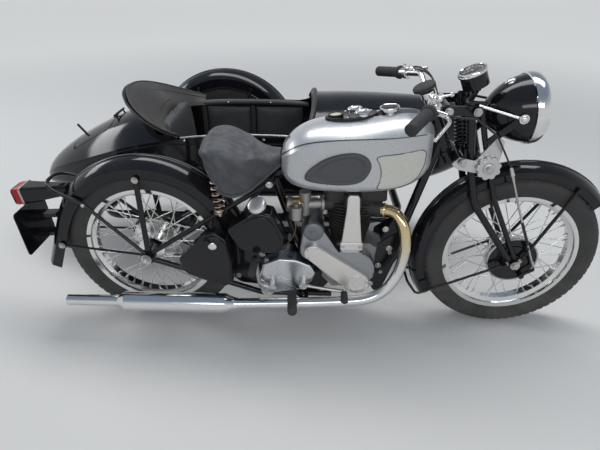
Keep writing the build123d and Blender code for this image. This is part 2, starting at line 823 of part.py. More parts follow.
# Fittings on the tank: the oval instrument panel let into its top, with a dial and two knobs, the
# filler's neck and screwed cap, and a teardrop rubber knee grip on each side
panel_place = Plane(origin=(740, 0, 850), x_dir=(1, 0, 0.11), z_dir=(-0.11, 0, 1))
panel_parts = ((-52, 0, 27, 12), (14, 20, 25, 19), (36, -21, 25, 19))
cap_place = Vector(866, 0, 858)
with BuildPart() as tank_fittings:
    with BuildSketch(panel_place.offset(-14)):
        Ellipse(88, 47)
    extrude(amount=24)
    for along, across, radius, rise in panel_parts:
        with BuildSketch(panel_place.offset(10)):
            with Locations((along, across)):
                Circle(radius)
        extrude(amount=rise - 4)
    rod(cap_place, cap_place + Vector(-1, 0, 18), 27)
    rod(cap_place + Vector(-1, 0, 18), cap_place + Vector(-2, 0, 30), 33)
    for side in (-1, 1):
        with BuildSketch(Plane.XZ.offset(-side * 104 - (22 if side > 0 else 0))):
            with BuildLine():
                ThreePointArc((588, 688), (664, 760), (762, 772))
                ThreePointArc((762, 772), (798, 762), (806, 728))
                ThreePointArc((806, 728), (796, 692), (762, 674))
                Line((762, 674), (592, 680))
                ThreePointArc((592, 680), (586, 683), (588, 688))
            make_face()
        extrude(amount=32)
    add(fuel_tank.part, mode=Mode.SUBTRACT)
save(tank_fittings, "tank_fittings")

# Saddle: a sprung leather top, narrow at the nose and broad at the back, with its skirt
# x, half width, z of the skirt's edge, z of the shoulder, top z
saddle_sections = (
    (226, 96, 700, 742, 762),
    (268, 140, 664, 752, 792),
    (330, 148, 622, 748, 800),
    (400, 122, 640, 736, 772),
    (460, 70, 676, 722, 752),
    (502, 44, 700, 726, 744),
)
with BuildPart() as saddle:
    for x, half, skirt, shoulder, top in saddle_sections:
        with BuildSketch(Plane.YZ.offset(x)):
            with BuildLine():
                Line((-half + 14, skirt), (half - 14, skirt))
                for side in (-1, 1):
                    Line((side * (half - 14), skirt), (side * half, shoulder))
                ThreePointArc((half, shoulder), (0, top), (-half, shoulder))
            make_face()
    loft()
save(saddle, "saddle")

# Saddle springs: a closed-up coil's outline under each side of the saddle, standing on the seat stays,
# and the bolt that holds the saddle's nose to the seat lug
coil_radius = 21
coil_turns = 6
spring_top = Vector(268, 92, 690)
spring_foot = Vector(286, 86, 524)


def coil_outline(foot, top, radius, turns, wire):
    """Add a coil spring's outline: one rounded ring for each turn, on a thin core."""
    way = (top - foot).normalized()
    length = (top - foot).length
    across = way.cross(Vector(0, 1, 0)).normalized()
    side_plane = Plane(origin=foot, x_dir=across, z_dir=across.cross(way))
    pitch = length / turns
    with BuildSketch(side_plane) as section:
        with BuildLine():
            Line((0, 0), (radius - wire, 0))
            for turn in range(turns):
                low = turn * pitch
                ThreePointArc(
                    (radius - wire, low),
                    (radius, low + pitch / 2),
                    (radius - wire, low + pitch),
                )
            Line((radius - wire, length), (0, length))
            Line((0, length), (0, 0))
        make_face()
    revolve(section.sketch, axis=Axis(foot, way))


with BuildPart() as saddle_springs:
    for side in (-1, 1):
        top = Vector(spring_top.X, side * spring_top.Y, spring_top.Z)
        foot = Vector(spring_foot.X, side * spring_foot.Y, spring_foot.Z)
        way = (top - foot).normalized()
        coil_outline(foot + way * 18, top, coil_radius, coil_turns, 6)
        rod(foot, foot + way * 18, 8)
    rod((478, 0, 636), (478, 0, 700), 9)
    add(saddle.part, mode=Mode.SUBTRACT)
    add(seat_stays.part, mode=Mode.SUBTRACT)
    add(seat_tube.part, mode=Mode.SUBTRACT)
    add(head_and_tank_tube.part, mode=Mode.SUBTRACT)
save(saddle_springs, "saddle_springs")

# Rear mudguard: a deep valanced strip about the wheel, running straight down at its tail
rear_guard_start = -8
rear_guard_stop = 158
tail_length = 215
with BuildPart() as rear_mudguard:
    guard_strip(
        rear_axle,
        rear_guard_radius,
        rear_guard_edge,
        rear_guard_half,
        rear_guard_start,
        rear_guard_stop,
    )
    tail_up = Vector(cos(radians(rear_guard_stop)), 0, sin(radians(rear_guard_stop)))
    tail_plane = Plane(origin=rear_axle, x_dir=(0, 1, 0), z_dir=Vector(0, 1, 0).cross(tail_up))
    tail_face = [f for f in rear_mudguard.faces() if abs(tail_plane.to_local_coords(f.center()).Z) < 0.01]
    extrude(tail_face, amount=tail_length, dir=tail_up.cross(Vector(0, 1, 0)))
    add(seat_tube.part, mode=Mode.SUBTRACT)
    add(seat_stays.part, mode=Mode.SUBTRACT)
    add(chain_stays.part, mode=Mode.SUBTRACT)
    chain_room = 36
    with BuildSketch(Plane.XZ.offset(-chain_y - 20)):
        with Locations((mainshaft.X, mainshaft.Z)):
            Circle(small_sprocket + chain_room)
        with Locations((rear_axle.X, rear_axle.Z)):
            Circle(large_sprocket + chain_room)
        make_hull()
    extrude(amount=34, mode=Mode.SUBTRACT)
save(rear_mudguard, "rear_mudguard")

# Rear stays: a wide strap up to the mudguard, the long stay that goes on as the lifting handle round
# the tail, and a thin lower stay
with BuildPart() as rear_stays:
    handle_side = rear_guard_half + 12
    for side in (-1, 1):
        strap_low = Vector(6, side * (stay_spread_axle + 5), 352)
        strap_high = Vector(-2, side * (rear_guard_half + 3), 640)
        with BuildSketch(Plane(origin=strap_low, x_dir=(1, 0, 0), z_dir=strap_high - strap_low)):
            Rectangle(20, 4)
        extrude(amount=(strap_high - strap_low).length)
        rod((-2, side * (rear_guard_half + 0.3), 636), (-2, side * (rear_guard_half + 12), 636), 8)
        low_tail = Vector(-330, side * (rear_guard_half + 5), 357)
        rod((-8, side * (stay_spread_axle + 3), 338), low_tail, 4.5)
    tube(
        (
            Vector(-6, -stay_spread_axle - 3, 342),
            Vector(-210, -handle_side, 543),
            Vector(-342, -handle_side + 4, 606),
            Vector(-342, handle_side - 4, 606),
            Vector(-210, handle_side, 543),
            Vector(-6, stay_spread_axle + 3, 342),
        ),
        6.5,
        60,
    )
    add(chain_stays.part, mode=Mode.SUBTRACT)
    add(seat_stays.part, mode=Mode.SUBTRACT)
    add(rear_mudguard.part, mode=Mode.SUBTRACT)
save(rear_stays, "rear_stays")

# Tail lamp: a tapered housing standing back from the mudguard, with a faceted lens
lamp_place = Plane(origin=(-446, 0, 544), x_dir=(0, 1, 0), z_dir=(-1, 0, -0.12))
with BuildPart() as tail_lamp:
    with BuildSketch(Plane(origin=(-286, 0, 562), x_dir=(0, 1, 0), z_dir=(-1, 0, -0.12))):
        RectangleRounded(46, 38, 12)
    with BuildSketch(lamp_place):
        RectangleRounded(84, 66, 14)
    loft()
    with BuildSketch(lamp_place):
        RectangleRounded(80, 62, 12)
    extrude(amount=34)
    rod(rear_axle - Vector(0, 80, 0), rear_axle + Vector(0, 80, 0), rear_guard_radius, mode=Mode.SUBTRACT)
    add(rear_stays.part, mode=Mode.SUBTRACT)
save(tail_lamp, "tail_lamp")

# Number plate: a blank plate hanging behind the mudguard, below the lamp
with BuildPart() as number_plate:
    plate_place = Plane(origin=(-452, 0, 412), x_dir=(0, 1, 0), z_dir=(-1, 0, -0.06))
    with BuildSketch(plate_place):
        RectangleRounded(200, 178, 14)
    extrude(amount=3)
    for drop, reach in ((-40, 103), (40, 71)):
        with BuildSketch(plate_place):
            with Locations((0, drop)):
                Rectangle(40, 16)
        extrude(amount=-reach)
    add(rear_mudguard.part, mode=Mode.SUBTRACT)
    add(tail_lamp.part, mode=Mode.SUBTRACT)
save(number_plate, "number_plate")

# Girder: on each side a straight front blade and a bent rear blade that meet at the fork end, with
# cross tubes at the upper and lower link pins, the front spindle, and the pins for the front stand.
# Each link pin is given by its height along the steering axis and its distance in front of it.
link_half = 74
top_rear = (92, 36)
top_front = (53, 116)
low_rear = (-94, 28)
low_front = (-146, 99)
blade_side = 62
fork_side = 74
rear_blade_radius = 12.5
front_blade_radius = 9.5
pin_radius = 7
stand_pivot = Vector(1338, 0, 322)
with BuildPart() as girder:
    for side in (-1, 1):
        tube(
            (
                Vector(1106, side * blade_side, 918),
                Vector(1145, side * blade_side, 700),
                Vector(1182, side * (blade_side + 2), 566),
                Vector(1352, side * fork_side, 338),
            ),
            rear_blade_radius,
            120,
        )
        tube(
            (
                Vector(1136, side * blade_side, 918),
                Vector(1172, side * blade_side, 800),
                Vector(1246, side * blade_side, 590),
                Vector(1374, side * fork_side, 342),
            ),
            front_blade_radius,
            160,
        )
        head_cap = ((1092, 876), (1094, 926), (1150, 926), (1156, 882), (1140, 866))
        flat_plate(head_cap, side * blade_side + 3, 6, 10)
        gusset = ((1140, 700), (1150, 740), (1200, 742), (1222, 690), (1200, 672))
        flat_plate(gusset, side * blade_side + 3, 6, 8)
        end_lug = ((1326, 312), (1328, 344), (1366, 366), (1396, 346), (1396, 322), (1372, 306))
        flat_plate(end_lug, side * fork_side + 4, 8, 8)
    for along, out in (top_front, low_front):
        pin = steering_point(along, out)
        rod(pin - Vector(0, link_half - 2, 0), pin + Vector(0, link_half - 2, 0), 13)
    rod(front_axle - Vector(0, 96, 0), front_axle + Vector(0, 96, 0), spindle_radius)
    for side, hub_end in ((-1, 68), (1, 42)):
        fork_end = front_axle + Vector(0, side * fork_side, 0)
        rod(front_axle + Vector(0, side * hub_end, 0), fork_end, 15)
        rod(fork_end, fork_end + Vector(0, side * 15, 0), 14)
        face = stand_pivot + Vector(0, side * fork_side, 0)
        rod(face, face + Vector(0, side * 20, 0), 4)
        rod(face + Vector(0, side * 20, 0), face + Vector(0, side * 24, 0), 8)
save(girder, "girder")

# Steering stem and fork links: the shaft through the head with a lug above and below it, and from each
# lug a pair of flat links on pins to the girder's bosses, with the damper's plate and hand nut on the
# right
link_wall = 6
with BuildPart() as fork_links:
    rod(steering_point(-112), steering_point(118), stem_radius)
    for (along, out), end in ((top_rear, 1), (low_rear, -1)):
        boss = steering_point(along, out)
        rod(boss - Vector(0, link_half - 2, 0), boss + Vector(0, link_half - 2, 0), 17)
        rod(steering_point(end * (head_length / 2 + 2)), steering_point(end * (head_length / 2 + 34)), 20)
        rod(steering_point(along), boss, 12)
    for rear, front in ((top_rear, top_front), (low_rear, low_front)):
        rear_pin, front_pin = steering_point(*rear), steering_point(*front)
        for side in (-1, 1):
            face = link_half + 0.3 + (link_wall if side > 0 else 0)
            with BuildSketch(Plane.XZ.offset(-side * face)):
                with Locations((rear_pin.X, rear_pin.Z), (front_pin.X, front_pin.Z)):
                    Circle(15)
                make_hull()
            extrude(amount=link_wall)
        for pin in (rear_pin, front_pin):
            rod(pin - Vector(0, link_half + 18, 0), pin + Vector(0, link_half + 18, 0), pin_radius)
    damper_plate = (
        (1076, 722),
        (1096, 740),
        (1150, 730),
        (1206, 812),
        (1226, 800),
        (1224, 744),
        (1212, 700),
        (1180, 690),
        (1100, 704),
    )
    flat_plate(damper_plate, -link_half - 0.3, link_wall, 7)
    knob = steering_point(*low_front)
    knob_face = link_half + link_wall
    with BuildSketch(Plane.XZ.offset(knob_face + 4)):
        with Locations((knob.X, knob.Z)):
            Circle(39)
            with PolarLocations(43, 9):
                Circle(8, mode=Mode.SUBTRACT)
    extrude(amount=12)
    add(girder.part, mode=Mode.SUBTRACT)
save(fork_links, "fork_links")

# Fork spring: the central coil between the stem's bottom lug and the girder's head
with BuildPart() as fork_spring:
    coil_outline(steering_point(-66, 56), steering_point(32, 84), 24, 7, 7)
    rod(steering_point(-78, 52), steering_point(-66, 56), 12)
    rod(steering_point(32, 84), steering_point(56, 92), 12)
    add(girder.part, mode=Mode.SUBTRACT)
    add(fork_links.part, mode=Mode.SUBTRACT)
save(fork_spring, "fork_spring")

# Brake plate: the dished plate that closes the front drum on the right, held from turning by an arm
# on the fork, with the cam lever at its edge
with BuildPart() as brake_plate:
    with BuildSketch(Plane.XZ.offset(57)):
        with Locations((front_axle.X, front_axle.Z)):
            Circle(94)
    extrude(amount=5)
    with BuildSketch(Plane.XZ.offset(62)):
        with Locations((front_axle.X, front_axle.Z)):
            Circle(60)
    extrude(amount=4)
    rod(front_axle + Vector(0, -66, 0), front_axle + Vector(0, -fork_side + 4, 0), 24)
    rod(front_axle - Vector(0, 50, 0), front_axle - Vector(0, 90, 0), 15, mode=Mode.SUBTRACT)
    rod((1404, -62, 402), (1404, -80, 402), 9)
    rod((1414, -62, 268), (1414, -86, 268), 10)
    flat_plate(((1404, 262), (1404, 276), (1450, 306), (1458, 298)), -80, 5, 4)
    add(girder.part, mode=Mode.SUBTRACT)
save(brake_plate, "brake_plate")

# Front mudguard: a strip about the front wheel, bolted to the girder's blades, with a thick stay on
# each side from the fork end up to the front of the strip
front_guard_start = 41
front_guard_stop = 211
with BuildPart() as front_mudguard:
    guard_strip(
        front_axle,
        front_guard_radius,
        front_guard_edge,
        front_guard_half,
        front_guard_start,
        front_guard_stop,
    )
    for side in (-1, 1):
        rod((1167, side * (front_guard_half - 2), 622), (1167, side * 60, 622), 9)
        foot = Vector(1394, side * (fork_side + 8), 338)
        rod(foot, (1536, side * (front_guard_half + 5), 620), 6)
        rod((1536, side * (front_guard_half - 1), 620), (1536, side * (front_guard_half + 12), 620), 7)
        tab = ((1386, 326), (1380, 346), (1402, 352), (1406, 330))
        flat_plate(tab, side * (fork_side + 7) + 2.5, 5, 4)
    add(girder.part, mode=Mode.SUBTRACT)
save(front_mudguard, "front_mudguard")

# Front stand: a bent rod that loops behind the mudguard's lower end, hinged at both fork ends
stand_side = fork_side + 12
stand_radius = 5
with BuildPart() as front_stand:
    tube(
        (
            stand_pivot + Vector(0, -stand_side, 0),
            Vector(1030, -stand_side + 4, 172),
            Vector(992, -stand_side + 18, 222),
            Vector(992, stand_side - 18, 222),
            Vector(1030, stand_side - 4, 172),
            stand_pivot + Vector(0, stand_side, 0),
        ),
        stand_radius,
        18,
    )
    for side in (-1, 1):
        eye = stand_pivot + Vector(0, side * stand_side, 0)
        rod(eye - Vector(0, 5, 0), eye + Vector(0, 5, 0), 9)
    for side in (-1, 1):
        eye = stand_pivot + Vector(0, side * stand_side, 0)
        rod(eye - Vector(0, 9, 0), eye + Vector(0, 9, 0), 4.3, mode=Mode.SUBTRACT)
save(front_stand, "front_stand")

# Headlamp: a deep rounded shell with its chromed rim, on a bracket at each side from the girder's front
# blade out and up to the lamp's bolt, and the glass bulging from it
lamp_tilt = 6.5
lamp_way = Vector(cos(radians(lamp_tilt)), 0, sin(radians(lamp_tilt)))
lamp_centre = Vector(1306, 0, 888)
lamp_radius = 110
lamp_depth = 142
lamp_bolt = Vector(1256, 0, 884)
lamp_plane = Plane(origin=lamp_centre, x_dir=lamp_way, z_dir=(0, -1, 0))
with BuildPart() as headlamp:
    with BuildSketch(lamp_plane):
        with BuildLine():
            Line((0, 0), (0, lamp_radius - 6))
            Line((0, lamp_radius - 6), (14, lamp_radius - 6))
            Line((14, lamp_radius - 6), (14, lamp_radius + 2))
            ThreePointArc((14, lamp_radius + 2), (6, lamp_radius + 5), (-6, lamp_radius + 2))
            Line((-6, lamp_radius + 2), (-8, lamp_radius))
            ThreePointArc((-8, lamp_radius), (-88, lamp_radius * 0.7), (-lamp_depth, 14))
            Line((-lamp_depth, 14), (-lamp_depth, 0))
            Line((-lamp_depth, 0), (0, 0))
        make_face()
    revolve(axis=Axis(lamp_centre, lamp_way))
    for side in (-1, 1):
        low = Vector(1180, side * (blade_side + 8), 792)
        high = lamp_bolt + Vector(0, side * 99, 0)
        with BuildSketch(Plane(origin=low, x_dir=(0, 1, 0), z_dir=high - low)):
            Rectangle(8, 22)
        extrude(amount=(high - low).length)
        rod(high - Vector(0, side * 9, 0), high + Vector(0, side * 9, 0), 13)
        rod(high, steering_point(64, 128, side * (blade_side + 6)), 4)
        rod(high + Vector(0, side * 9, 0), high + Vector(0, side * 17, 0), 9)
    add(girder.part, mode=Mode.SUBTRACT)
    add(fork_links.part, mode=Mode.SUBTRACT)
save(headlamp, "headlamp")
with BuildPart() as headlamp_glass:
    with BuildSketch(lamp_plane):
        with BuildLine():
            Line((0, 0), (0, lamp_radius - 6.3))
            Line((0, lamp_radius - 6.3), (13, lamp_radius - 6.3))
            ThreePointArc((13, lamp_radius - 6.3), (30, lamp_radius * 0.55), (38, 8))
            Line((38, 8), (38, 0))
            Line((38, 0), (0, 0))
        make_face()
    revolve(axis=Axis(lamp_centre, lamp_way))
save(headlamp_glass, "headlamp_glass")

# Handlebar: one bent tube in a clamp on the stem's head, swept out, up and back to the grips, with the
# front brake lever on the right and the clutch lever on the left in clamps inside the grips
bar_radius = 11
bar_end = Vector(862, 350, 924)
bar_inner = Vector(936, 240, 944)
grip_length = 128
clamp = steering_point(118, 4)
with BuildPart() as handlebar:
    tube(
        (
            Vector(bar_end.X, -bar_end.Y, bar_end.Z),
            Vector(bar_inner.X, -bar_inner.Y, bar_inner.Z),
            Vector(984, -150, 962),
            clamp + Vector(2, -60, 12),
            clamp + Vector(2, 60, 12),
            Vector(984, 150, 962),
            bar_inner,
            bar_end,
        ),
        bar_radius,
        40,
    )
    rod(clamp - steering_up * 14, clamp + steering_up * 16, 20)
    rod(clamp + Vector(2, -32, 12), clamp + Vector(2, 32, 12), 18)
    rod(clamp + steering_up * 16, clamp + steering_up * 34, 26)
    for side in (-1, 1):
        tip = Vector(bar_end.X, side * bar_end.Y, bar_end.Z)
        root = Vector(bar_inner.X, side * bar_inner.Y, bar_inner.Z)
        way = (root - tip).normalized()
        perch = tip + way * (grip_length + 12)
        ahead = Vector(0.83, side * 0.5, -0.18).normalized()
        rod(perch - way * 9, perch + way * 9, 17)
        rod(perch, perch + ahead * 46, 8)
        pivot = perch + ahead * 42
        tube(
            (
                pivot,
                pivot + Vector(6, side * 34, -6),
                tip + ahead * 64 + Vector(10, -side * 16, -6),
            ),
            5,
            30,
        )
    add(fork_links.part, mode=Mode.SUBTRACT)
save(handlebar, "handlebar")

# Grips: a ribbed rubber sleeve on each end of the bar
with BuildPart() as grips:
    for side in (-1, 1):
        tip = Vector(bar_end.X, side * bar_end.Y, bar_end.Z)
        root = Vector(bar_inner.X, side * bar_inner.Y, bar_inner.Z)
        way = (root - tip).normalized()
        rod(tip - way * 8, tip + way * (grip_length - 14), 17)
        rod(tip + way * (grip_length - 14), tip + way * grip_length, 17, 22)
    add(handlebar.part, mode=Mode.SUBTRACT)
save(grips, "grips")

# Speedometer: a round case on a bracket above the girder's head, its face tilted back to the rider
dial_way = Vector(-0.42, 0, 0.91).normalized()
dial_centre = Vector(1118, 0, 984)
with BuildPart() as speedometer:
    rod(dial_centre - dial_way * 30, dial_centre + dial_way * 12, 42)
    rod(dial_centre + dial_way * 12, dial_centre + dial_way * 22, 45)
    rod(dial_centre - dial_way * 30, dial_centre - dial_way * 46, 12)
    rod(dial_centre - dial_way * 40, steering_point(*top_front) + Vector(0, 0, 13), 10)
    add(girder.part, mode=Mode.SUBTRACT)
    add(fork_spring.part, mode=Mode.SUBTRACT)
    add(fork_links.part, mode=Mode.SUBTRACT)
save(speedometer, "speedometer")

# Brake cable: from the right lever, down past the girder to the cam lever on the brake plate
with BuildPart() as brake_cable:
    tube(
        (
            Vector(976, -256, 938),
            Vector(1010, -256, 932),
            Vector(1090, -180, 905),
            Vector(1190, -112, 830),
            Vector(1262, -98, 720),
            Vector(1330, -96, 560),
            Vector(1404, -94, 400),
            Vector(1452, -84, 304),
        ),
        3,
        60,
    )
    rod((1352, -95.4, 512), (1396, -94.3, 418), 5)
    add(brake_plate.part, mode=Mode.SUBTRACT)
    add(handlebar.part, mode=Mode.SUBTRACT)
save(brake_cable, "brake_cable")

# Outside of the sidecar body: a loft through upright sections from the tail to the nose
# x, half width, corner inset, bottom z, z where the side starts, z of the shoulder, top z
body_sections = (
    (-702, 34, 18, 322, 334, 352, 372),
    (-610, 128, 60, 330, 372, 430, 480),
    (-430, 212, 90, 340, 400, 510, 592),
    (-200, 262, 100, 350, 420, 590, 690),
    (50, 280, 100, body_floor, 430, 640, 735),
    (550, 280, 100, body_floor, 430, 655, 765),
    (820, 264, 100, 366, 440, 650, 772),
    (1100, 214, 90, 420, 480, 630, 764),
    (1290, 138, 70, 470, 520, 610, 730),
    (1368, 60, 34, 520, 546, 590, 650),
)
with BuildPart() as hull:
    loft([hull_section(x, body_middle, *sizes) for x, *sizes in body_sections])

# Sidecar chassis: a long tube beside the motorcycle and one outside the body, joined by cross tubes at
# the front, under the seat and behind; the middle one runs out to the wheel
chassis_z = 286
near_rail_y = 300
far_rail_y = 905
chassis_rear = -330
chassis_front = 1010
rail_radius = 19
with BuildPart() as chassis_near_rail:
    tube(
        (
            Vector(chassis_rear, near_rail_y + 110, chassis_z),
            Vector(chassis_rear, near_rail_y, chassis_z),
            Vector(chassis_front - 130, near_rail_y, chassis_z),
            Vector(chassis_front, near_rail_y, chassis_z + 30),
            Vector(chassis_front, near_rail_y + 120, chassis_z + 30),
        ),
        rail_radius,
        80,
    )
save(chassis_near_rail, "chassis_near_rail")
with BuildPart() as chassis_far_rail:
    tube(
        (
            Vector(chassis_rear, near_rail_y + 110.3, chassis_z),
            Vector(chassis_rear, far_rail_y, chassis_z),
            Vector(chassis_front - 130, far_rail_y, chassis_z),
            Vector(chassis_front, far_rail_y, chassis_z + 30),
            Vector(chassis_front, near_rail_y + 120.3, chassis_z + 30),
        ),
        rail_radius,
        80,
    )
save(chassis_far_rail, "chassis_far_rail")

# Chassis cross tubes, with the stub axle's lug and the axle at the wheel's end, and the four rubber
# blocks that the body rests on
stub_lug_y = 1046
# x, distance to each side of the body's middle, and a height inside the body's floor
body_mounts = ((700, 150, 374), (chassis_rear, 90, 366))
with BuildPart() as chassis_cross:
    rod((sidecar_lead, near_rail_y, chassis_z), (sidecar_lead, stub_lug_y, chassis_z), 16)
    rod((700, near_rail_y, chassis_z), (700, far_rail_y, chassis_z), 16)
    flat_plate(
        (
            (sidecar_lead - 32, chassis_z - 28),
            (sidecar_lead - 32, tyre_radius + 24),
            (sidecar_lead + 32, tyre_radius + 24),
            (sidecar_lead + 32, chassis_z - 28),
        ),
        stub_lug_y + 24,
        24,
        14,
    )
    stub_root = Vector(sidecar_lead, stub_lug_y, tyre_radius)
    rod(stub_root, sidecar_axle + Vector(0, 60, 0), spindle_radius)
    rod(stub_root, sidecar_axle - Vector(0, 41, 0), 18)
    rod(sidecar_axle + Vector(0, 41, 0), sidecar_axle + Vector(0, 54, 0), 15)
    for x, spread, top in body_mounts:
        for y in (body_middle - spread, body_middle + spread):
            rod((x, y, chassis_z), (x, y, top), 16)
    for piece in (chassis_near_rail, chassis_far_rail, hull):
        add(piece.part, mode=Mode.SUBTRACT)
save(chassis_cross, "chassis_cross")

# Fittings that fasten the chassis to the motorcycle: two low ones from the near rail to the chain
# stays and the engine plates, and two stays rising to the seat lug and the down tube
with BuildPart() as chassis_fittings:
    low_joints = (
        ((rail_front - 30, 62, rail_height), (760, near_rail_y, chassis_z)),
        ((60, stay_spread_axle - 2, 301), (60, near_rail_y, chassis_z)),
        ((seat_lug.X, stay_spread_top + 17, seat_lug.Z), (300, near_rail_y, chassis_z)),
        ((down_tube_foot.X, front_plate_half + 5, down_tube_foot.Z), (860, near_rail_y, chassis_z)),
    )
    for inner_end, outer_end in low_joints:
        rod(inner_end, outer_end, 11)
        rod(Vector(outer_end) - Vector(18, 0, 0), Vector(outer_end) + Vector(18, 0, 0), 25)
    for piece in (chassis_near_rail, chain_stays, seat_stays, engine_plates, down_tube, primary_case):
        add(piece.part, mode=Mode.SUBTRACT)
    add(chassis_cross.part, mode=Mode.SUBTRACT)
save(chassis_fittings, "chassis_fittings")

# Sidecar body: the shell with the cockpit and the foot space in its nose hollowed out inside its wall,
# and the locker in the tail with a ledge that the lid lies on
cockpit_rear = -70
cockpit_front = 604
above_body = 900
# x and half width of the cockpit's opening
cockpit_spans = ((cockpit_rear, 232), (0, 262), (280, 272), (540, 268), (cockpit_front, 246))
locker_front = -304
locker_rear = -500
locker_half = 132
locker_floor = 400
lid_gap = 5
lid_wall = 9
lid_ledge = 12
lid_hinge = Vector(locker_front + 4, body_middle, 668)
with BuildPart() as foot_space:
    inner_sections = []
    for x, half, inset, bottom, side_start, crease, top in body_sections[3:8]:
        heights = (bottom + body_wall, side_start, crease, top - body_wall)
        inner_sections.append(hull_section(x, body_middle, half - body_wall, inset, *heights))
    loft(inner_sections)
    with BuildSketch(Plane.XY):
        with Locations((cockpit_rear, body_middle)):
            Rectangle(1400, body_outer - body_inner, align=(Align.MIN, Align.CENTER))
    extrude(amount=above_body, mode=Mode.INTERSECT)
opening_floor = 560
with BuildPart() as cockpit_void:
    add(foot_space.part)
    with BuildSketch(Plane.XY.offset(opening_floor)):
        with BuildLine():
            near_edge = [(x, body_middle - half) for x, half in cockpit_spans]
            far_edge = [(x, body_middle + half) for x, half in reversed(cockpit_spans)]
            Polyline(*near_edge, *far_edge, close=True)
        make_face()
        fillet(vertices().group_by(Axis.X)[0] + vertices().group_by(Axis.X)[-1], 50)
    extrude(amount=above_body)
with BuildPart() as under_lid:
    lowered = []
    for x, half, inset, bottom, side_start, crease, top in body_sections[1:5]:
        heights = (bottom, side_start, crease - lid_wall, top - lid_wall)
        lowered.append(hull_section(x, body_middle, half, inset, *heights))
    loft(lowered)
with BuildPart() as lid_recess:
    with BuildSketch(Plane.XY.offset(body_floor)):
        with Locations(((locker_front + locker_rear) / 2, body_middle)):
            RectangleRounded(locker_front - locker_rear, 2 * locker_half, 30)
    extrude(amount=above_body)
    add(under_lid.part.moved(Location((0, 0, -0.3))), mode=Mode.SUBTRACT)
with BuildPart() as sidecar_body:
    add(hull.part)
    add(cockpit_void.part, mode=Mode.SUBTRACT)
    with BuildSketch(Plane.XY.offset(locker_floor)):
        with Locations(((locker_front + locker_rear) / 2, body_middle)):
            locker_length = locker_front - locker_rear - 2 * lid_ledge
            RectangleRounded(locker_length, 2 * (locker_half - lid_ledge), 24)
    extrude(amount=above_body, mode=Mode.SUBTRACT)
    add(lid_recess.part, mode=Mode.SUBTRACT)
    for side in (-1, 1):
        knuckle = lid_hinge + Vector(0, side * 34, 0)
        rod(knuckle, knuckle + Vector(0, side * 26, 0), 5)
        rod(knuckle + Vector(0, side * 13, 0), knuckle + Vector(12, side * 13, -26), 4)
        rod(lid_hinge, knuckle, 2.5)
save(sidecar_body, "sidecar_body")

# Locker lid: the piece of tail deck that hinges at its front edge, with its knuckle and its handle
with BuildPart() as locker_lid:
    add(hull.part)
    with BuildSketch(Plane.XY.offset(body_floor)):
        with Locations(((locker_front + locker_rear) / 2, body_middle)):
            lid_length = locker_front - locker_rear - 2 * lid_gap
            RectangleRounded(lid_length, 2 * (locker_half - lid_gap), 28)
    extrude(amount=above_body, mode=Mode.INTERSECT)
    add(under_lid.part, mode=Mode.SUBTRACT)
    rod(lid_hinge - Vector(0, 32, 0), lid_hinge + Vector(0, 32, 0), 5.5)
    rod(lid_hinge, lid_hinge + Vector(-32, 0, -34), 5)
    rod(lid_hinge - Vector(0, 40, 0), lid_hinge + Vector(0, 40, 0), 2.9, mode=Mode.SUBTRACT)
    rod((-478, body_middle, 558), (-494, body_middle, 580), 5)
save(locker_lid, "locker_lid")

# Coaming: the wide collar that stands up round the back of the cockpit and rolls outwards, and the
# rolled hoop across its front edge. Each section of the collar lies in an upright plane through a point
# between its ends, and has the distance from that point and the height of its foot, crest and outer edge.
collar_middle = Vector(60, body_middle, 0)
collar_feet = (128, 262)
collar_crests = (196, 282)
collar_rims = (314, 310)
collar_heights = ((690, 640), (817, 668), (768, 668))
collar_wall = 7


def collar_point(turn, spans, heights):
    """A point of a collar section: on an ellipse in plan, and highest at the back."""
    behind, beside = spans
    out = behind * beside / hypot(beside * cos(turn), behind * sin(turn))
    back_height, side_height = heights
    return Vector(out, side_height + (back_height - side_height) * cos(turn) ** 1.3)


with BuildPart() as coaming:
    collar_sections = []
    for angle in (-89, -60, -30, 0, 30, 60, 89):
        turn = radians(angle)
        out_way = Vector(-cos(turn), -sin(turn), 0)
        foot = collar_point(turn, collar_feet, collar_heights[0])
        crest = collar_point(turn, collar_crests, collar_heights[1])
        rim = collar_point(turn, collar_rims, collar_heights[2])
        upright = Plane(origin=collar_middle, x_dir=out_way, z_dir=out_way.cross(Vector(0, 0, 1)))
        with BuildSketch(upright) as collar_section:
            with BuildLine():
                over = ThreePointArc(foot, crest, rim)
                under = [p + (over.arc_center - p).normalized() * collar_wall for p in (rim, crest, foot)]
                Line(rim, under[0])
                ThreePointArc(*under)
                Line(under[2], foot)
            make_face()
        collar_sections.append(collar_section.sketch)
    loft(collar_sections)
    tube(
        (
            Vector(600, 352, 694),
            Vector(616, 420, 735),
            Vector(620, body_middle, 776),
            Vector(616, 2 * body_middle - 420, 735),
            Vector(600, 2 * body_middle - 352, 694),
        ),
        11,
        60,
    )
    add(hull.part, mode=Mode.SUBTRACT)
save(coaming, "coaming")

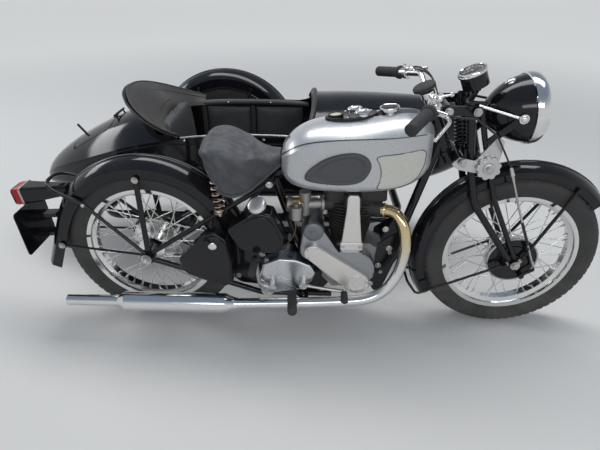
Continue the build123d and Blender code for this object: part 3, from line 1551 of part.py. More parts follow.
# Seat: a cushion on the cockpit's floor and a back rest against its rear wall
seat_floor = body_floor + body_wall + 0.3
seat_middle = 130
seat_length = 330
with BuildPart() as seat:
    with BuildSketch(Plane.XY.offset(seat_floor)):
        with Locations((seat_middle, body_middle)):
            RectangleRounded(seat_length, 340, 40)
    with BuildSketch(Plane.XY.offset(seat_floor + 30)):
        with Locations((seat_middle, body_middle)):
            RectangleRounded(seat_length, 470, 40)
    loft()
    with BuildSketch(Plane.XY.offset(seat_floor + 30)):
        with Locations((seat_middle, body_middle)):
            RectangleRounded(seat_length, 470, 40)
    extrude(amount=90)
    fillet(seat.faces().sort_by(Axis.Z)[-1].edges(), 26)
    back_place = Plane(origin=(-33, body_middle, seat_floor + 30), x_dir=(0, 1, 0), z_dir=(1, 0, 0.1))
    with BuildSketch(back_place):
        with Locations((0, 150)):
            RectangleRounded(400, 300, 40)
    extrude(amount=56)
save(seat, "seat")

# Sidecar mudguard over its wheel, with two stays to the stub axle's lug
with BuildPart() as sidecar_mudguard:
    guard_strip(sidecar_axle, sidecar_guard_radius, sidecar_guard_edge, sidecar_guard_half, 12, 190)
    for x in (-40, 260):
        rod(
            (sidecar_lead + (x - sidecar_lead) * 0.15, stub_lug_y + 12, tyre_radius + 10),
            (x, sidecar_track - sidecar_guard_half - 5, 646),
            8,
        )
        rod(
            (x, sidecar_track - sidecar_guard_half - 12, 646),
            (x, sidecar_track - sidecar_guard_half + 1, 646),
            11,
        )
    add(chassis_cross.part, mode=Mode.SUBTRACT)
save(sidecar_mudguard, "sidecar_mudguard")
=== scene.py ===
import bmesh
import bpy
import numpy as np
from mathutils import Matrix, Vector


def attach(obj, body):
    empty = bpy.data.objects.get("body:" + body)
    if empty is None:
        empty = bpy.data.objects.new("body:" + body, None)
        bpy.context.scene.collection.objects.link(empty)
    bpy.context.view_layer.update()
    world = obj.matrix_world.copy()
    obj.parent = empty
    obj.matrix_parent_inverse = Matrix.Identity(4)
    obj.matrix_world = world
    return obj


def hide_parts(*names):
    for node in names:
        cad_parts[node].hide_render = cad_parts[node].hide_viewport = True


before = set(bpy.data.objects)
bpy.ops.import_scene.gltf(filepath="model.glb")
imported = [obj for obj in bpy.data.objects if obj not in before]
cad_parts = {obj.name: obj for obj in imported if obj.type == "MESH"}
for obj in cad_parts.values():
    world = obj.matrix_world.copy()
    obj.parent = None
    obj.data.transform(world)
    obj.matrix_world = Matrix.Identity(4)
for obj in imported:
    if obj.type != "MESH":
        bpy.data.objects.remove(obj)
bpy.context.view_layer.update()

# Camera: it stands on the right of the motorcycle, level with the tank's rear half and a little above
# the handlebar, and looks down at the engine. Lengths in this file are millimetres from the floor point
# under the rear axle, x forward, y to the left and z up, and become metres as each mesh is made.
outfit_middle = np.array([500.0, 444.2, 0.0])


def metres(points):
    """Millimetres from the rear axle's floor point, made metres from the outfit's middle."""
    return (np.asarray(points, float) - outfit_middle) / 1000


camera_yaw, camera_down, camera_roll = np.radians([-1.383, 30.822, 0.486])
ahead = np.array([
    np.sin(camera_yaw) * np.cos(camera_down),
    np.cos(camera_yaw) * np.cos(camera_down),
    -np.sin(camera_down),
])
level = np.array([np.cos(camera_yaw), -np.sin(camera_yaw), 0.0])
upright = np.cross(level, ahead)
across_view = level * np.cos(camera_roll) + upright * np.sin(camera_roll)
up_view = upright * np.cos(camera_roll) - level * np.sin(camera_roll)
camera_place = metres((607.15, -1495.45, 1318.62))
photo_width, focal_pixels = 600, 456.54
camera_data = bpy.data.cameras.new("photographer")
camera_data.sensor_width = 36.0
camera_data.lens = camera_data.sensor_width * focal_pixels / photo_width
camera_data.clip_end = 200
camera = bpy.data.objects.new("photographer", camera_data)
turn = Matrix(np.stack([across_view, up_view, -ahead], 1).tolist()).to_4x4()
camera.matrix_world = Matrix.Translation(camera_place.tolist()) @ turn
bpy.context.scene.collection.objects.link(camera)
bpy.context.scene.camera = camera

# Studio: a plain pale floor under an even pale surround, one wide soft lamp overhead and two weaker ones
# to the right and behind, so that the black enamel has a long soft light to mirror.
bpy.context.scene.view_settings.view_transform = "Standard"


def shader_node(tree, kind, place, **settings):
    """Add a node to a shader tree. A setting that names a socket sets it, and any other sets the node; two
    underscores stand for a space in the socket's name."""
    node = tree.nodes.new(kind)
    node.location = place
    for label, value in settings.items():
        label = label.replace("__", " ")
        if label in node.inputs:
            node.inputs[label].default_value = value
        else:
            setattr(node, label, value)
    return node


def join(tree, *links):
    """Link a shader tree's sockets, each link a pair of an output and an input."""
    for start, end in links:
        tree.links.new(start, end)


studio_floor = bpy.data.meshes.new("studio_floor")
floor_half, floor_level = 30, -0.001
floor_corners = [
    (x * floor_half, y * floor_half, floor_level) for x, y in ((-1, -1), (1, -1), (1, 1), (-1, 1))
]
studio_floor.from_pydata(floor_corners, [], [(0, 1, 2, 3)])
floor = bpy.data.objects.new("studio_floor", studio_floor)
bpy.context.scene.collection.objects.link(floor)
pale = bpy.data.materials.new("pale_floor")
pale.use_nodes = True
pale_surface = pale.node_tree.nodes["Principled BSDF"]
pale_surface.inputs["Base Color"].default_value = (0.72, 0.71, 0.69, 1)
pale_surface.inputs["Roughness"].default_value = 0.9
studio_floor.materials.append(pale)


def rays_of_the_eye(tree):
    """1 for the rays that leave the eye, also once glass or bright metal has turned them, and 0 for light."""
    path = shader_node(tree, "ShaderNodeLightPath", (-900, 200))
    first = shader_node(tree, "ShaderNodeMath", (-700, 200), operation="ADD")
    both = shader_node(tree, "ShaderNodeMath", (-500, 200), operation="ADD", use_clamp=True)
    join(
        tree, (path.outputs["Is Camera Ray"], first.inputs[0]),
        (path.outputs["Is Glossy Ray"], first.inputs[1]),
        (first.outputs[0], both.inputs[0]), (path.outputs["Is Transmission Ray"], both.inputs[1]),
    )
    return both.outputs[0]


# The lamps fade with distance, so the floor's far part is given its own pale tone, which lights nothing
floor_tree = pale.node_tree
floor_place = shader_node(floor_tree, "ShaderNodeTexCoord", (-1100, -200))
floor_reach = shader_node(floor_tree, "ShaderNodeVectorMath", (-900, -200), operation="LENGTH")
far_share = shader_node(
    floor_tree, "ShaderNodeMapRange", (-700, -200), interpolation_type="SMOOTHSTEP",
    From__Min=1.6, From__Max=7.0,
)
far_seen = shader_node(floor_tree, "ShaderNodeMath", (-500, -100), operation="MULTIPLY")
far_tone = shader_node(
    floor_tree, "ShaderNodeVectorMath", (-300, -100), operation="SCALE", Vector=(0.36, 0.355, 0.34),
)
pale_surface.inputs["Emission Strength"].default_value = 1.0
join(
    floor_tree,
    (floor_place.outputs["Object"], floor_reach.inputs[0]),
    (floor_reach.outputs["Value"], far_share.inputs["Value"]),
    (far_share.outputs[0], far_seen.inputs[0]),
    (rays_of_the_eye(floor_tree), far_seen.inputs[1]),
    (far_seen.outputs[0], far_tone.inputs["Scale"]),
    (far_tone.outputs[0], pale_surface.inputs["Emission Color"]),
)

# Surround: a soft cool sky lights the outfit evenly. The eye and bright metal see a pale backdrop in its
# place, grey near the horizon and a deeper blue-grey overhead.
surround = bpy.data.worlds.new("surround")
bpy.context.scene.world = surround
surround.use_nodes = True
sky_tree = surround.node_tree
sky_tree.nodes.clear()
sky_out = shader_node(sky_tree, "ShaderNodeOutputWorld", (600, 0))
sky_mix = shader_node(sky_tree, "ShaderNodeMixShader", (400, 0))
sky_lit = shader_node(sky_tree, "ShaderNodeBackground", (0, 0), Color=(0.8, 0.89, 1.0, 1), Strength=0.42)
sky_backdrop = shader_node(sky_tree, "ShaderNodeBackground", (0, -200), Strength=1.0)
sky_way = shader_node(sky_tree, "ShaderNodeTexCoord", (-900, -300))
sky_height = shader_node(sky_tree, "ShaderNodeSeparateXYZ", (-700, -300))
sky_share = shader_node(
    sky_tree, "ShaderNodeMapRange", (-500, -300), interpolation_type="SMOOTHSTEP",
    From__Min=0.1, From__Max=0.75,
)
horizon_grey, overhead_blue = (0.64, 0.65, 0.66, 1), (0.2, 0.25, 0.32, 1)
sky_tone = shader_node(
    sky_tree, "ShaderNodeMix", (-250, -300), data_type="RGBA", A=horizon_grey, B=overhead_blue,
)
join(
    sky_tree,
    (sky_way.outputs["Generated"], sky_height.inputs[0]),
    (sky_height.outputs["Z"], sky_share.inputs["Value"]),
    (sky_share.outputs[0], sky_tone.inputs["Factor"]),
    (sky_tone.outputs["Result"], sky_backdrop.inputs["Color"]),
    (rays_of_the_eye(sky_tree), sky_mix.inputs[0]),
    (sky_lit.outputs[0], sky_mix.inputs[1]),
    (sky_backdrop.outputs[0], sky_mix.inputs[2]),
    (sky_mix.outputs[0], sky_out.inputs[0]),
)

# Lamps: soft rectangles overhead, at the right and behind. Each row is a name, a place and a point to aim
# at in metres, the lamp's width and depth in metres, and its watts.
studio_lamps = (
    ("overhead_lamp", (0.3, 0.5, 3.4), (0.1, 0.0, 0.3), 4.4, 0.9, 70),
    ("right_lamp", (0.6, -4.4, 2.6), (0.2, -0.2, 0.4), 4.0, 0.8, 46),
    ("rear_lamp", (-3.8, 1.2, 2.4), (-0.2, 0.2, 0.4), 2.4, 0.8, 26),
)
for name, spot, aim, width, depth, watts in studio_lamps:
    lamp = bpy.data.lights.new(name, "AREA")
    lamp.shape = "RECTANGLE"
    lamp.size, lamp.size_y, lamp.energy = width, depth, watts
    lamp_object = bpy.data.objects.new(name, lamp)
    towards = (Vector(aim) - Vector(spot)).to_track_quat("-Z", "Y").to_matrix().to_4x4()
    lamp_object.matrix_world = Matrix.Translation(spot) @ towards
    bpy.context.scene.collection.objects.link(lamp_object)


# Frame: steel tubes brazed into lugs, all in black enamel. Like every finish of the outfit, the enamel has a
# colour and gloss that vary a little over the piece, and some finishes have a height that varies too. Road
# dust and fine mottling are node groups that each finish uses with values of its own.
def shader_group(name, inputs, outputs):
    """Start a node group with number inputs, each a name and its default, and number outputs. Gives back the
    group's tree, its input node and its output node."""
    tree = bpy.data.node_groups.new(name, "ShaderNodeTree")
    for label, value in inputs:
        socket = tree.interface.new_socket(label, in_out="INPUT", socket_type="NodeSocketFloat")
        socket.default_value = value
    for label in outputs:
        tree.interface.new_socket(label, in_out="OUTPUT", socket_type="NodeSocketFloat")
    group_in = shader_node(tree, "NodeGroupInput", (-900, 0))
    group_out = shader_node(tree, "NodeGroupOutput", (900, 0))
    return tree, group_in, group_out


# Dust lies in patches on what faces up and on what is near the road: the larger of those two shares is
# multiplied by the patches and by the amount.
road_dust, dust_in, dust_out = shader_group("road_dust", (("Amount", 0.2), ("Patch Size", 9.0)), ("Dust",))
dust_place = shader_node(road_dust, "ShaderNodeTexCoord", (-700, -100))
dust_facing = shader_node(road_dust, "ShaderNodeNewGeometry", (-700, 300))
dust_split = shader_node(road_dust, "ShaderNodeSeparateXYZ", (-500, 300))
dust_low = shader_node(road_dust, "ShaderNodeSeparateXYZ", (-500, 120))
dust_patches = shader_node(road_dust, "ShaderNodeTexNoise", (-500, -100), Detail=6.0, Roughness=0.62)
dust_up = shader_node(road_dust, "ShaderNodeMapRange", (-300, 300), From__Min=-0.2, From__Max=1.0)
dust_height = shader_node(road_dust, "ShaderNodeMapRange", (-300, 120), From__Min=0.55, From__Max=0.05)
dust_patch_mask = shader_node(road_dust, "ShaderNodeMapRange", (-300, -100), From__Min=0.36, From__Max=0.72)
dust_larger = shader_node(road_dust, "ShaderNodeMath", (-100, 200), operation="MAXIMUM")
dust_times = shader_node(road_dust, "ShaderNodeMath", (100, 100), operation="MULTIPLY")
dust_scaled = shader_node(road_dust, "ShaderNodeMath", (300, 100), operation="MULTIPLY")
join(
    road_dust,
    (dust_place.outputs["Object"], dust_patches.inputs["Vector"]),
    (dust_in.outputs["Patch Size"], dust_patches.inputs["Scale"]),
    (dust_facing.outputs["Normal"], dust_split.inputs[0]),
    (dust_place.outputs["Object"], dust_low.inputs[0]),
    (dust_split.outputs["Z"], dust_up.inputs["Value"]),
    (dust_low.outputs["Z"], dust_height.inputs["Value"]),
    (dust_patches.outputs["Fac"], dust_patch_mask.inputs["Value"]),
    (dust_up.outputs[0], dust_larger.inputs[0]),
    (dust_height.outputs[0], dust_larger.inputs[1]),
    (dust_larger.outputs[0], dust_times.inputs[0]),
    (dust_patch_mask.outputs[0], dust_times.inputs[1]),
    (dust_times.outputs[0], dust_scaled.inputs[0]),
    (dust_in.outputs["Amount"], dust_scaled.inputs[1]),
    (dust_scaled.outputs[0], dust_out.inputs["Dust"]),
)

# Mottling is two noises: a coarse one for uneven tone and gloss, and a fine one for the small heights of
# the surface.
mottling, mottle_in, mottle_out = shader_group(
    "mottling", (("Coarse", 14.0), ("Fine", 260.0)), ("Tone", "Height"),
)
mottle_place = shader_node(mottling, "ShaderNodeTexCoord", (-700, 0))
mottle_coarse = shader_node(mottling, "ShaderNodeTexNoise", (-300, 100), Detail=5.0, Roughness=0.6)
mottle_fine = shader_node(mottling, "ShaderNodeTexNoise", (-300, -200), Detail=3.0, Roughness=0.5)
for noise, size, output in ((mottle_coarse, "Coarse", "Tone"), (mottle_fine, "Fine", "Height")):
    join(
        mottling, (mottle_place.outputs["Object"], noise.inputs["Vector"]),
        (mottle_in.outputs[size], noise.inputs["Scale"]), (noise.outputs["Fac"], mottle_out.inputs[output]),
    )


def finish(
    name, colour, second, gloss, metal=0.0, coat=0.0, dust=0.2, coarse=14.0, fine=260.0, height=0.0,
):
    """A finish whose tone goes between two colours with the coarse mottling, and its roughness between the
    two of gloss. Dust is laid over the colour and added to the roughness. The height, in millimetres, is
    the depth of the fine mottling's bump."""
    dust_colour = (0.34, 0.31, 0.27, 1)
    material = bpy.data.materials.new(name)
    material.use_nodes = True
    tree = material.node_tree
    surface = tree.nodes["Principled BSDF"]
    for label, value in (
        ("Metallic", metal), ("Coat Weight", coat), ("Coat Roughness", 0.06), ("Specular IOR Level", 0.4),
    ):
        surface.inputs[label].default_value = value
    mottle = shader_node(tree, "ShaderNodeGroup", (-900, 0), node_tree=mottling, Coarse=coarse, Fine=fine)
    dusty = shader_node(tree, "ShaderNodeGroup", (-900, -300), node_tree=road_dust, Amount=dust)
    tone = shader_node(
        tree, "ShaderNodeMix", (-600, 200), data_type="RGBA", A=(*colour, 1), B=(*second, 1),
    )
    dusted = shader_node(tree, "ShaderNodeMix", (-350, 200), data_type="RGBA", B=dust_colour)
    rough = shader_node(
        tree, "ShaderNodeMapRange", (-600, -100), From__Min=0.3, From__Max=0.7,
        To__Min=gloss[0], To__Max=gloss[1],
    )
    rough_sum = shader_node(tree, "ShaderNodeMath", (-350, -100), operation="ADD", use_clamp=True)
    join(
        tree,
        (mottle.outputs["Tone"], tone.inputs["Factor"]),
        (tone.outputs["Result"], dusted.inputs["A"]),
        (dusty.outputs["Dust"], dusted.inputs["Factor"]),
        (dusted.outputs["Result"], surface.inputs["Base Color"]),
        (mottle.outputs["Tone"], rough.inputs["Value"]),
        (rough.outputs[0], rough_sum.inputs[0]),
        (dusty.outputs["Dust"], rough_sum.inputs[1]),
        (rough_sum.outputs[0], surface.inputs["Roughness"]),
    )
    if height:
        bump = shader_node(tree, "ShaderNodeBump", (-350, -400), Strength=1.0, Distance=height / 1000)
        join(
            tree, (mottle.outputs["Height"], bump.inputs["Height"]),
            (bump.outputs["Normal"], surface.inputs["Normal"]),
        )
    return material


def dress(material, *nodes):
    """Give nodes of the frame a finish in place of their plain one."""
    for name in nodes:
        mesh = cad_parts[name].data
        mesh.materials.clear()
        mesh.materials.append(material)


black_enamel = finish("black_enamel", (0.006, 0.006, 0.008), (0.010, 0.010, 0.012), (0.07, 0.13), dust=0.03)
dress(black_enamel, "head_and_tank_tube", "down_tube", "seat_tube", "seat_stays", "chain_stays")


# Tyres: a moulded rubber ring on each rim, with four zigzag grooves round the middle of the tread and small
# blocks on its shoulders, and a smooth side wall.
def unit(ways):
    """Direction vectors brought to length one."""
    ways = np.asarray(ways, float)
    return ways / np.linalg.norm(ways, axis=-1, keepdims=True)


def grid_faces(rows, columns, round_rows=False, round_columns=False):
    """Four-cornered faces between neighbouring points of a grid; a round direction closes on itself."""
    row, column = np.meshgrid(
        np.arange(rows if round_rows else rows - 1),
        np.arange(columns if round_columns else columns - 1),
        indexing="ij",
    )
    next_row, next_column = (row + 1) % rows, (column + 1) % columns
    corners = [row * columns + column, row * columns + next_column]
    corners += [next_row * columns + next_column, next_row * columns + column]
    return np.stack(corners, -1).reshape(-1, 4)


def piece(
    name, shapes, material, body="motorcycle_and_sidecar", replaces=(), crease=38, bevel=0.0,
):
    """One object from shapes, each of points in millimetres and lists of faces. Points that meet are merged.
    Edges sharper than the crease angle stay sharp, or get a round of the bevel's width in millimetres."""
    meeting, too_thin = 2e-6, 1e-6
    points, faces, start = [], [], 0
    for shape_points, *face_lists in shapes:
        shape_points = np.asarray(shape_points, float).reshape(-1, 3)
        points.append(metres(shape_points))
        for face_list in face_lists:
            faces += (np.asarray(face_list) + start).tolist()
        start += len(shape_points)
    mesh = bpy.data.meshes.new(name)
    mesh.from_pydata(np.concatenate(points).tolist(), [], faces)
    working = bmesh.new()
    working.from_mesh(mesh)
    bmesh.ops.remove_doubles(working, verts=working.verts, dist=meeting)
    bmesh.ops.dissolve_degenerate(working, edges=working.edges, dist=too_thin)
    bmesh.ops.recalc_face_normals(working, faces=working.faces)
    working.to_mesh(mesh)
    working.free()
    mesh.shade_smooth()
    mesh.set_sharp_from_angle(angle=np.radians(crease))
    mesh.materials.append(material)
    made = bpy.data.objects.new(name, mesh)
    bpy.context.scene.collection.objects.link(made)
    if bevel:
        rounding = made.modifiers.new("rounding", "BEVEL")
        rounding.width = bevel / 1000
        rounding.segments = 2
        rounding.limit_method = "ANGLE"
        rounding.angle_limit = np.radians(crease)
    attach(made, body)
    if replaces:
        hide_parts(*replaces)
    return made


def tyre_ring(centre):
    """A ring whose section runs from one bead over the tread to the other: an ellipse for each side wall
    and a flatter arc for the tread. Grooves are cut where the distance across the tread, shifted by a
    triangle wave of the angle round the wheel, is near one of four lines, and between the shoulder blocks."""
    steps_round, zigzags, shoulder_blocks = 560, 90, 70
    tread_half, tread_top, groove_depth = 38, 329.8, 4.0
    groove_lines = np.array([-19.0, -6.5, 6.5, 19.0])
    around = np.linspace(0, 2 * np.pi, steps_round, endpoint=False)
    side = np.linspace(0, 1, 12, endpoint=False)
    wall_out = 29 + 17 * np.sin(side * np.pi * 0.72) ** 0.8
    wall_up = 240.5 + 74 * side
    tread_out = np.linspace(tread_half, -tread_half, 59)
    tread_up = tread_top - 11.8 * np.abs(tread_out / tread_half) ** 2.4
    wall_out[-1] = 42.5
    out = np.concatenate([wall_out, tread_out, -wall_out[::-1]])
    up = np.concatenate([wall_up, tread_up, wall_up[::-1]])
    angle, out = np.meshgrid(around, out, indexing="ij")
    up = np.broadcast_to(up, angle.shape).copy()
    zigzag = 2.6 * (np.abs((angle / (2 * np.pi) * zigzags) % 1 * 2 - 1) - 0.5) * 2
    groove = np.min(np.abs(out[..., None] + zigzag[..., None] - groove_lines), -1) < 1.5
    between_blocks = (angle / (2 * np.pi) * shoulder_blocks) % 1 < 0.24
    shoulder = (np.abs(out) > 26) & (np.abs(out) < 42) & between_blocks
    on_tread = up > 312
    up -= np.where((groove | shoulder) & on_tread, groove_depth, 0.0)
    points = np.stack([up * np.cos(angle), out, up * np.sin(angle)], -1) + centre
    return points, grid_faces(*angle.shape, round_rows=True, round_columns=True)


tyre_rubber = finish(
    "tyre_rubber", (0.026, 0.026, 0.028), (0.055, 0.053, 0.051), (0.6, 0.8), dust=0.26, coarse=11,
    height=0.15,
)
dress(tyre_rubber, "front_tyre", "rear_tyre", "sidecar_tyre")
front_axle = np.array([1372.0, 0.0, 330.0])
rear_axle = np.array([0.0, 0.0, 330.0])
sidecar_axle = np.array([110.0, 1180.0, 330.0])
wheels = (("front", front_axle), ("rear", rear_axle), ("sidecar", sidecar_axle))
for wheel, axle in wheels:
    piece(
        f"{wheel}_tyre_tread", [tyre_ring(axle)], tyre_rubber, f"{wheel}_wheel_set",
        [f"{wheel}_tyre"], crease=50,
    )


# Wheels: each bright spoke ends in a turned steel nipple in the rim's well. The rims, hubs and spokes
# themselves are the frame's own.
def turned(centres, ways, profile, steps):
    """Solids turned about an axis: each profile point is a distance along the way and a radius, and the
    same profile is set at every centre."""
    centres = np.atleast_2d(np.asarray(centres, float))
    ways = np.broadcast_to(unit(ways), centres.shape)
    level_way = np.where(np.abs(ways[:, 2:]) < 0.9, [[0.0, 0.0, 1.0]], [[1.0, 0.0, 0.0]])
    first = unit(np.cross(level_way, ways))
    second = np.cross(ways, first)
    along, radius = np.asarray(profile, float).T
    angle = np.linspace(0, 2 * np.pi, steps, endpoint=False)
    spin = first[:, None] * np.cos(angle)[None, :, None] + second[:, None] * np.sin(angle)[None, :, None]
    points = centres[:, None, None] + ways[:, None, None] * along[None, :, None, None]
    points = points + spin[:, None] * radius[None, :, None, None]
    one = grid_faces(len(along), steps, round_columns=True)
    starts = np.arange(len(centres)) * len(along) * steps
    return points.reshape(-1, 3), (one[None] + starts[:, None, None]).reshape(-1, 4)


chrome_plate = finish(
    "chrome_plate", (0.83, 0.83, 0.82), (0.72, 0.72, 0.71), (0.05, 0.14), metal=1.0, dust=0.1,
)
bright_steel = finish(
    "bright_steel", (0.6, 0.59, 0.57), (0.45, 0.44, 0.42), (0.2, 0.36), metal=1.0, dust=0.1,
)
dress(chrome_plate, "front_wheel", "rear_wheel", "sidecar_wheel")
spokes_a_row, nipple_circle, row_offset = 10, 224, 6.0
nipple_places = []
for side in (-1, 1):
    for lean in (-1, 1):
        angle = np.radians(np.arange(spokes_a_row) * 36.0 + 9 * lean + 4.5 * side)
        row_side = np.full(spokes_a_row, side * row_offset)
        row = np.stack([nipple_circle * np.cos(angle), row_side, nipple_circle * np.sin(angle)], 1)
        nipple_places.append(row)
nipple_places = np.concatenate(nipple_places)
nipple = ((2, 0), (2, 4.2), (-1, 4.6), (-2, 3.4), (-13, 2.9), (-14, 0))
outward = unit(nipple_places * np.array([1, 0, 1]))
for wheel, axle in wheels:
    piece(
        f"{wheel}_spoke_nipples", [turned(nipple_places + axle, outward, nipple, steps=8)], bright_steel,
        f"{wheel}_wheel_set",
    )


# Mudguards: pressed and enamelled sheet steel. Each has a raised rib along its middle, and its edges are
# rolled round a wire.
def arc_rib(centre, radius, half_width, rise, start, stop):
    """A raised rib along a mudguard's crown: across it a half ellipse, which sinks away at both ends."""
    steps, steps_across, steps_in_end, sunk = 90, 9, 5, 2.5
    along = np.radians(np.linspace(start, stop, steps))
    across_rib = np.linspace(0, np.pi, steps_across)
    ends = np.clip(np.minimum(np.arange(steps), np.arange(steps)[::-1]) / steps_in_end, 0, 1) ** 0.5
    angle, section = np.meshgrid(along, across_rib, indexing="ij")
    out = radius - sunk + rise * np.sin(section) * ends[:, None] + 1.0 * (ends[:, None] > 0)
    side = half_width * np.cos(section)
    points = np.stack([out * np.cos(angle), side, out * np.sin(angle)], -1) + centre
    return points, grid_faces(steps, steps_across)


def swept(path, radius, sides, guide=(0, 0, 1)):
    """A round bar along a path, with closed ends. Each ring is square to the path's direction there, and is
    turned by the direction square to the path and the guide. The radius may change along the path."""
    path = np.asarray(path, float)
    radius = np.broadcast_to(np.asarray(radius, float), len(path))
    way = unit(np.gradient(path, axis=0))
    first = unit(np.cross(way, guide))
    second = np.cross(way, first)
    rows = np.concatenate([[0], np.arange(len(path)), [len(path) - 1]])
    size = np.concatenate([[0], radius, [0]])
    angle = np.linspace(0, 2 * np.pi, sides, endpoint=False)
    ring = first[rows][:, None] * np.cos(angle)[None, :, None]
    ring = ring + second[rows][:, None] * np.sin(angle)[None, :, None]
    points = path[rows][:, None] + ring * size[:, None, None]
    return points, grid_faces(len(rows), sides, round_columns=True)


def wheel_arc(centre, radius, start, stop, side):
    """Points of an arc about a wheel's axle, at a distance to the side."""
    steps = 72
    angle = np.radians(np.linspace(start, stop, steps))
    return np.stack([radius * np.cos(angle), np.full(steps, side), radius * np.sin(angle)], 1) + centre


dress(black_enamel, "rear_mudguard", "front_mudguard", "sidecar_mudguard", "rear_stays")
# Each row: the guard, its body, its wheel's axle, its crown's and its edge's distance from the axle, half
# its width, and the angles at which it starts and ends
guards = (
    ("rear", "motorcycle_and_sidecar", rear_axle, 371, 306, 64, -8, 158),
    ("front", "steering", front_axle, 374, 324, 48, 41, 211),
    ("sidecar", "motorcycle_and_sidecar", sidecar_axle, 418, 330, 78, 12, 190),
)
for guard, body, axle, crown, edge, half, start, stop in guards:
    bead_lines = [wheel_arc(axle, edge, start, stop, side * (half - 0.5)) for side in (-1, 1)]
    beads = [swept(line, radius=3.0, sides=8, guide=(0, 1, 0)) for line in bead_lines]
    rib = arc_rib(axle, crown, half_width=11, rise=5, start=start + 2, stop=stop - 2)
    piece(f"{guard}_guard_rib", [rib], black_enamel, body)
    piece(f"{guard}_guard_beads", beads, black_enamel, body)


# Springs: coppery wire coils under each side of the saddle, in pressed cups, and one enamelled coil in the
# fork. Each coil's end turns are flat, so that it stands square in its seats.
def coil(foot, top, radius, turns, wire):
    """A coil spring from foot to top: a circle that rises evenly, apart from its flat end turns."""
    flat_turns = 0.6
    foot, top = np.asarray(foot, float), np.asarray(top, float)
    way = unit(top - foot)
    first = unit(np.cross(way, (0.0, 1.0, 0.0)))
    second = np.cross(way, first)
    turn = np.linspace(0, turns, int(turns * 26))
    rise = np.clip((turn - flat_turns) / (turns - 2 * flat_turns), 0, 1)
    length = np.linalg.norm(top - foot) - 2 * wire
    centre = foot + way * (wire + rise * length)[:, None]
    path = centre + radius * (
        first * np.cos(2 * np.pi * turn)[:, None] + second * np.sin(2 * np.pi * turn)[:, None]
    )
    return swept(path, radius=wire, sides=9, guide=way)


rake_sine, rake_cosine = 0.4384, 0.8988


def steering_point(along, out=0.0, side=0.0):
    """A point given by its height along the steering axis, its distance in front of it and its side."""
    x = 1040 - rake_sine * along + rake_cosine * out
    return np.array([x, side, 800 + rake_cosine * along + rake_sine * out])


coppery_steel = finish(
    "coppery_steel", (0.62, 0.47, 0.38), (0.5, 0.4, 0.34), (0.18, 0.3), metal=1.0, dust=0.05,
)
dress(coppery_steel, "saddle_springs", "fork_spring")
spring_shapes = []
for side in (-1, 1):
    head, foot = np.array([281, side * 91, 690.0]), np.array([289, side * 86, 524.0])
    spring_shapes.append(coil(foot + (0, 0, 12), head, radius=19.5, turns=7.5, wire=2.7))
    drop = foot - head
    cup = ((0, 0), (0, 23), (5, 24), (7, 21), (9, 0))
    spring_shapes.append(turned(head - unit(drop) * 4, drop, cup, steps=28))
    stem = ((0, 0), (0, 11), (-3, 23), (-8, 24), (-10, 20), (-12, 0))
    spring_shapes.append(turned(foot + unit(drop) * 2, drop, stem, steps=28))
    spring_shapes.append(turned(foot, drop, ((-2, 0), (-2, 8), (14, 8), (14, 0)), steps=16))
nose_bolt = ((0, 0), (0, 13), (8, 13), (8, 9), (72, 9), (72, 0))
spring_shapes.append(turned((478, 0, 630), (0, 0, 1), nose_bolt, steps=24))
piece("saddle_coils", spring_shapes, coppery_steel, replaces=["saddle_springs"])
spring_foot, spring_head = steering_point(-66, 56), steering_point(32, 84)
spring_seats = [
    swept(np.linspace(steering_point(*start), steering_point(*end), 6), radius=12, sides=20)
    for start, end in (((-78, 52), (-62, 57)), ((28, 83), (56, 92)))
]
piece(
    "fork_coil", [coil(spring_foot, spring_head, radius=21.5, turns=8.5, wire=3.4)] + spring_seats,
    black_enamel, "steering", ["fork_spring"],
)


# Engine plates: flat black steel, the frame's own, that hold the engine and gearbox in the frame with
# bright plated bolts
def hex_heads(centres, ways, flats, height):
    """Six-sided bolt heads with a round washer under each: a hexagon with its top corners turned off."""
    corner = flats / 2 / np.cos(np.pi / 6)
    head = ((1.2, 0), (1.2, corner), (height - 1, corner), (height, corner * 0.86), (height, 0))
    washer = ((-1.0, 0), (-1.0, flats * 0.8), (1.2, flats * 0.8), (1.2, 0))
    return [turned(centres, ways, head, steps=6), turned(centres, ways, washer, steps=20)]


dress(black_enamel, "engine_plates")
plate_bolts = (
    (886, -61, 452), (948, -61, 440), (910, -61, 352), (884, -61, 262), (850, -61, 240), (430, -61, 330),
    (468, -61, 236),
)
plate_bolt_heads = hex_heads(plate_bolts, (0, -1, 0), flats=14, height=7)
piece("engine_plate_bolts", plate_bolt_heads, bright_steel, crease=25)

# Engine: an alloy crankcase cast in sand, with a finned cylinder and head of black iron bolted on top of
# it, all three the frame's own
cast_alloy = finish(
    "cast_alloy", (0.44, 0.43, 0.41), (0.32, 0.31, 0.3), (0.4, 0.6), metal=1.0, dust=0.2, height=0.3,
)
black_iron = finish(
    "black_iron", (0.018, 0.018, 0.018), (0.035, 0.033, 0.03), (0.45, 0.65), dust=0.15, height=0.2,
)
dress(cast_alloy, "crankcase")
dress(black_iron, "cylinder", "cylinder_head")


# Timing case: a cast cover, the frame's own, with a paler buffed inner cover held by small screws, and a
# plain round boss at its lower front end
def two_circle_outline(first, first_radius, second, second_radius, steps=24):
    """The outline round two circles joined by their outer tangents, in the plane across the machine."""
    first, second = np.asarray(first, float), np.asarray(second, float)
    gap = second - first
    heading = np.arctan2(gap[1], gap[0])
    lean = np.arccos((first_radius - second_radius) / np.linalg.norm(gap))
    near = np.linspace(heading + lean, heading + 2 * np.pi - lean, steps)
    far = np.linspace(heading - lean, heading + lean, steps)
    near_arc = first + first_radius * np.stack([np.cos(near), np.sin(near)], 1)
    far_arc = second + second_radius * np.stack([np.cos(far), np.sin(far)], 1)
    return np.concatenate([near_arc, far_arc])


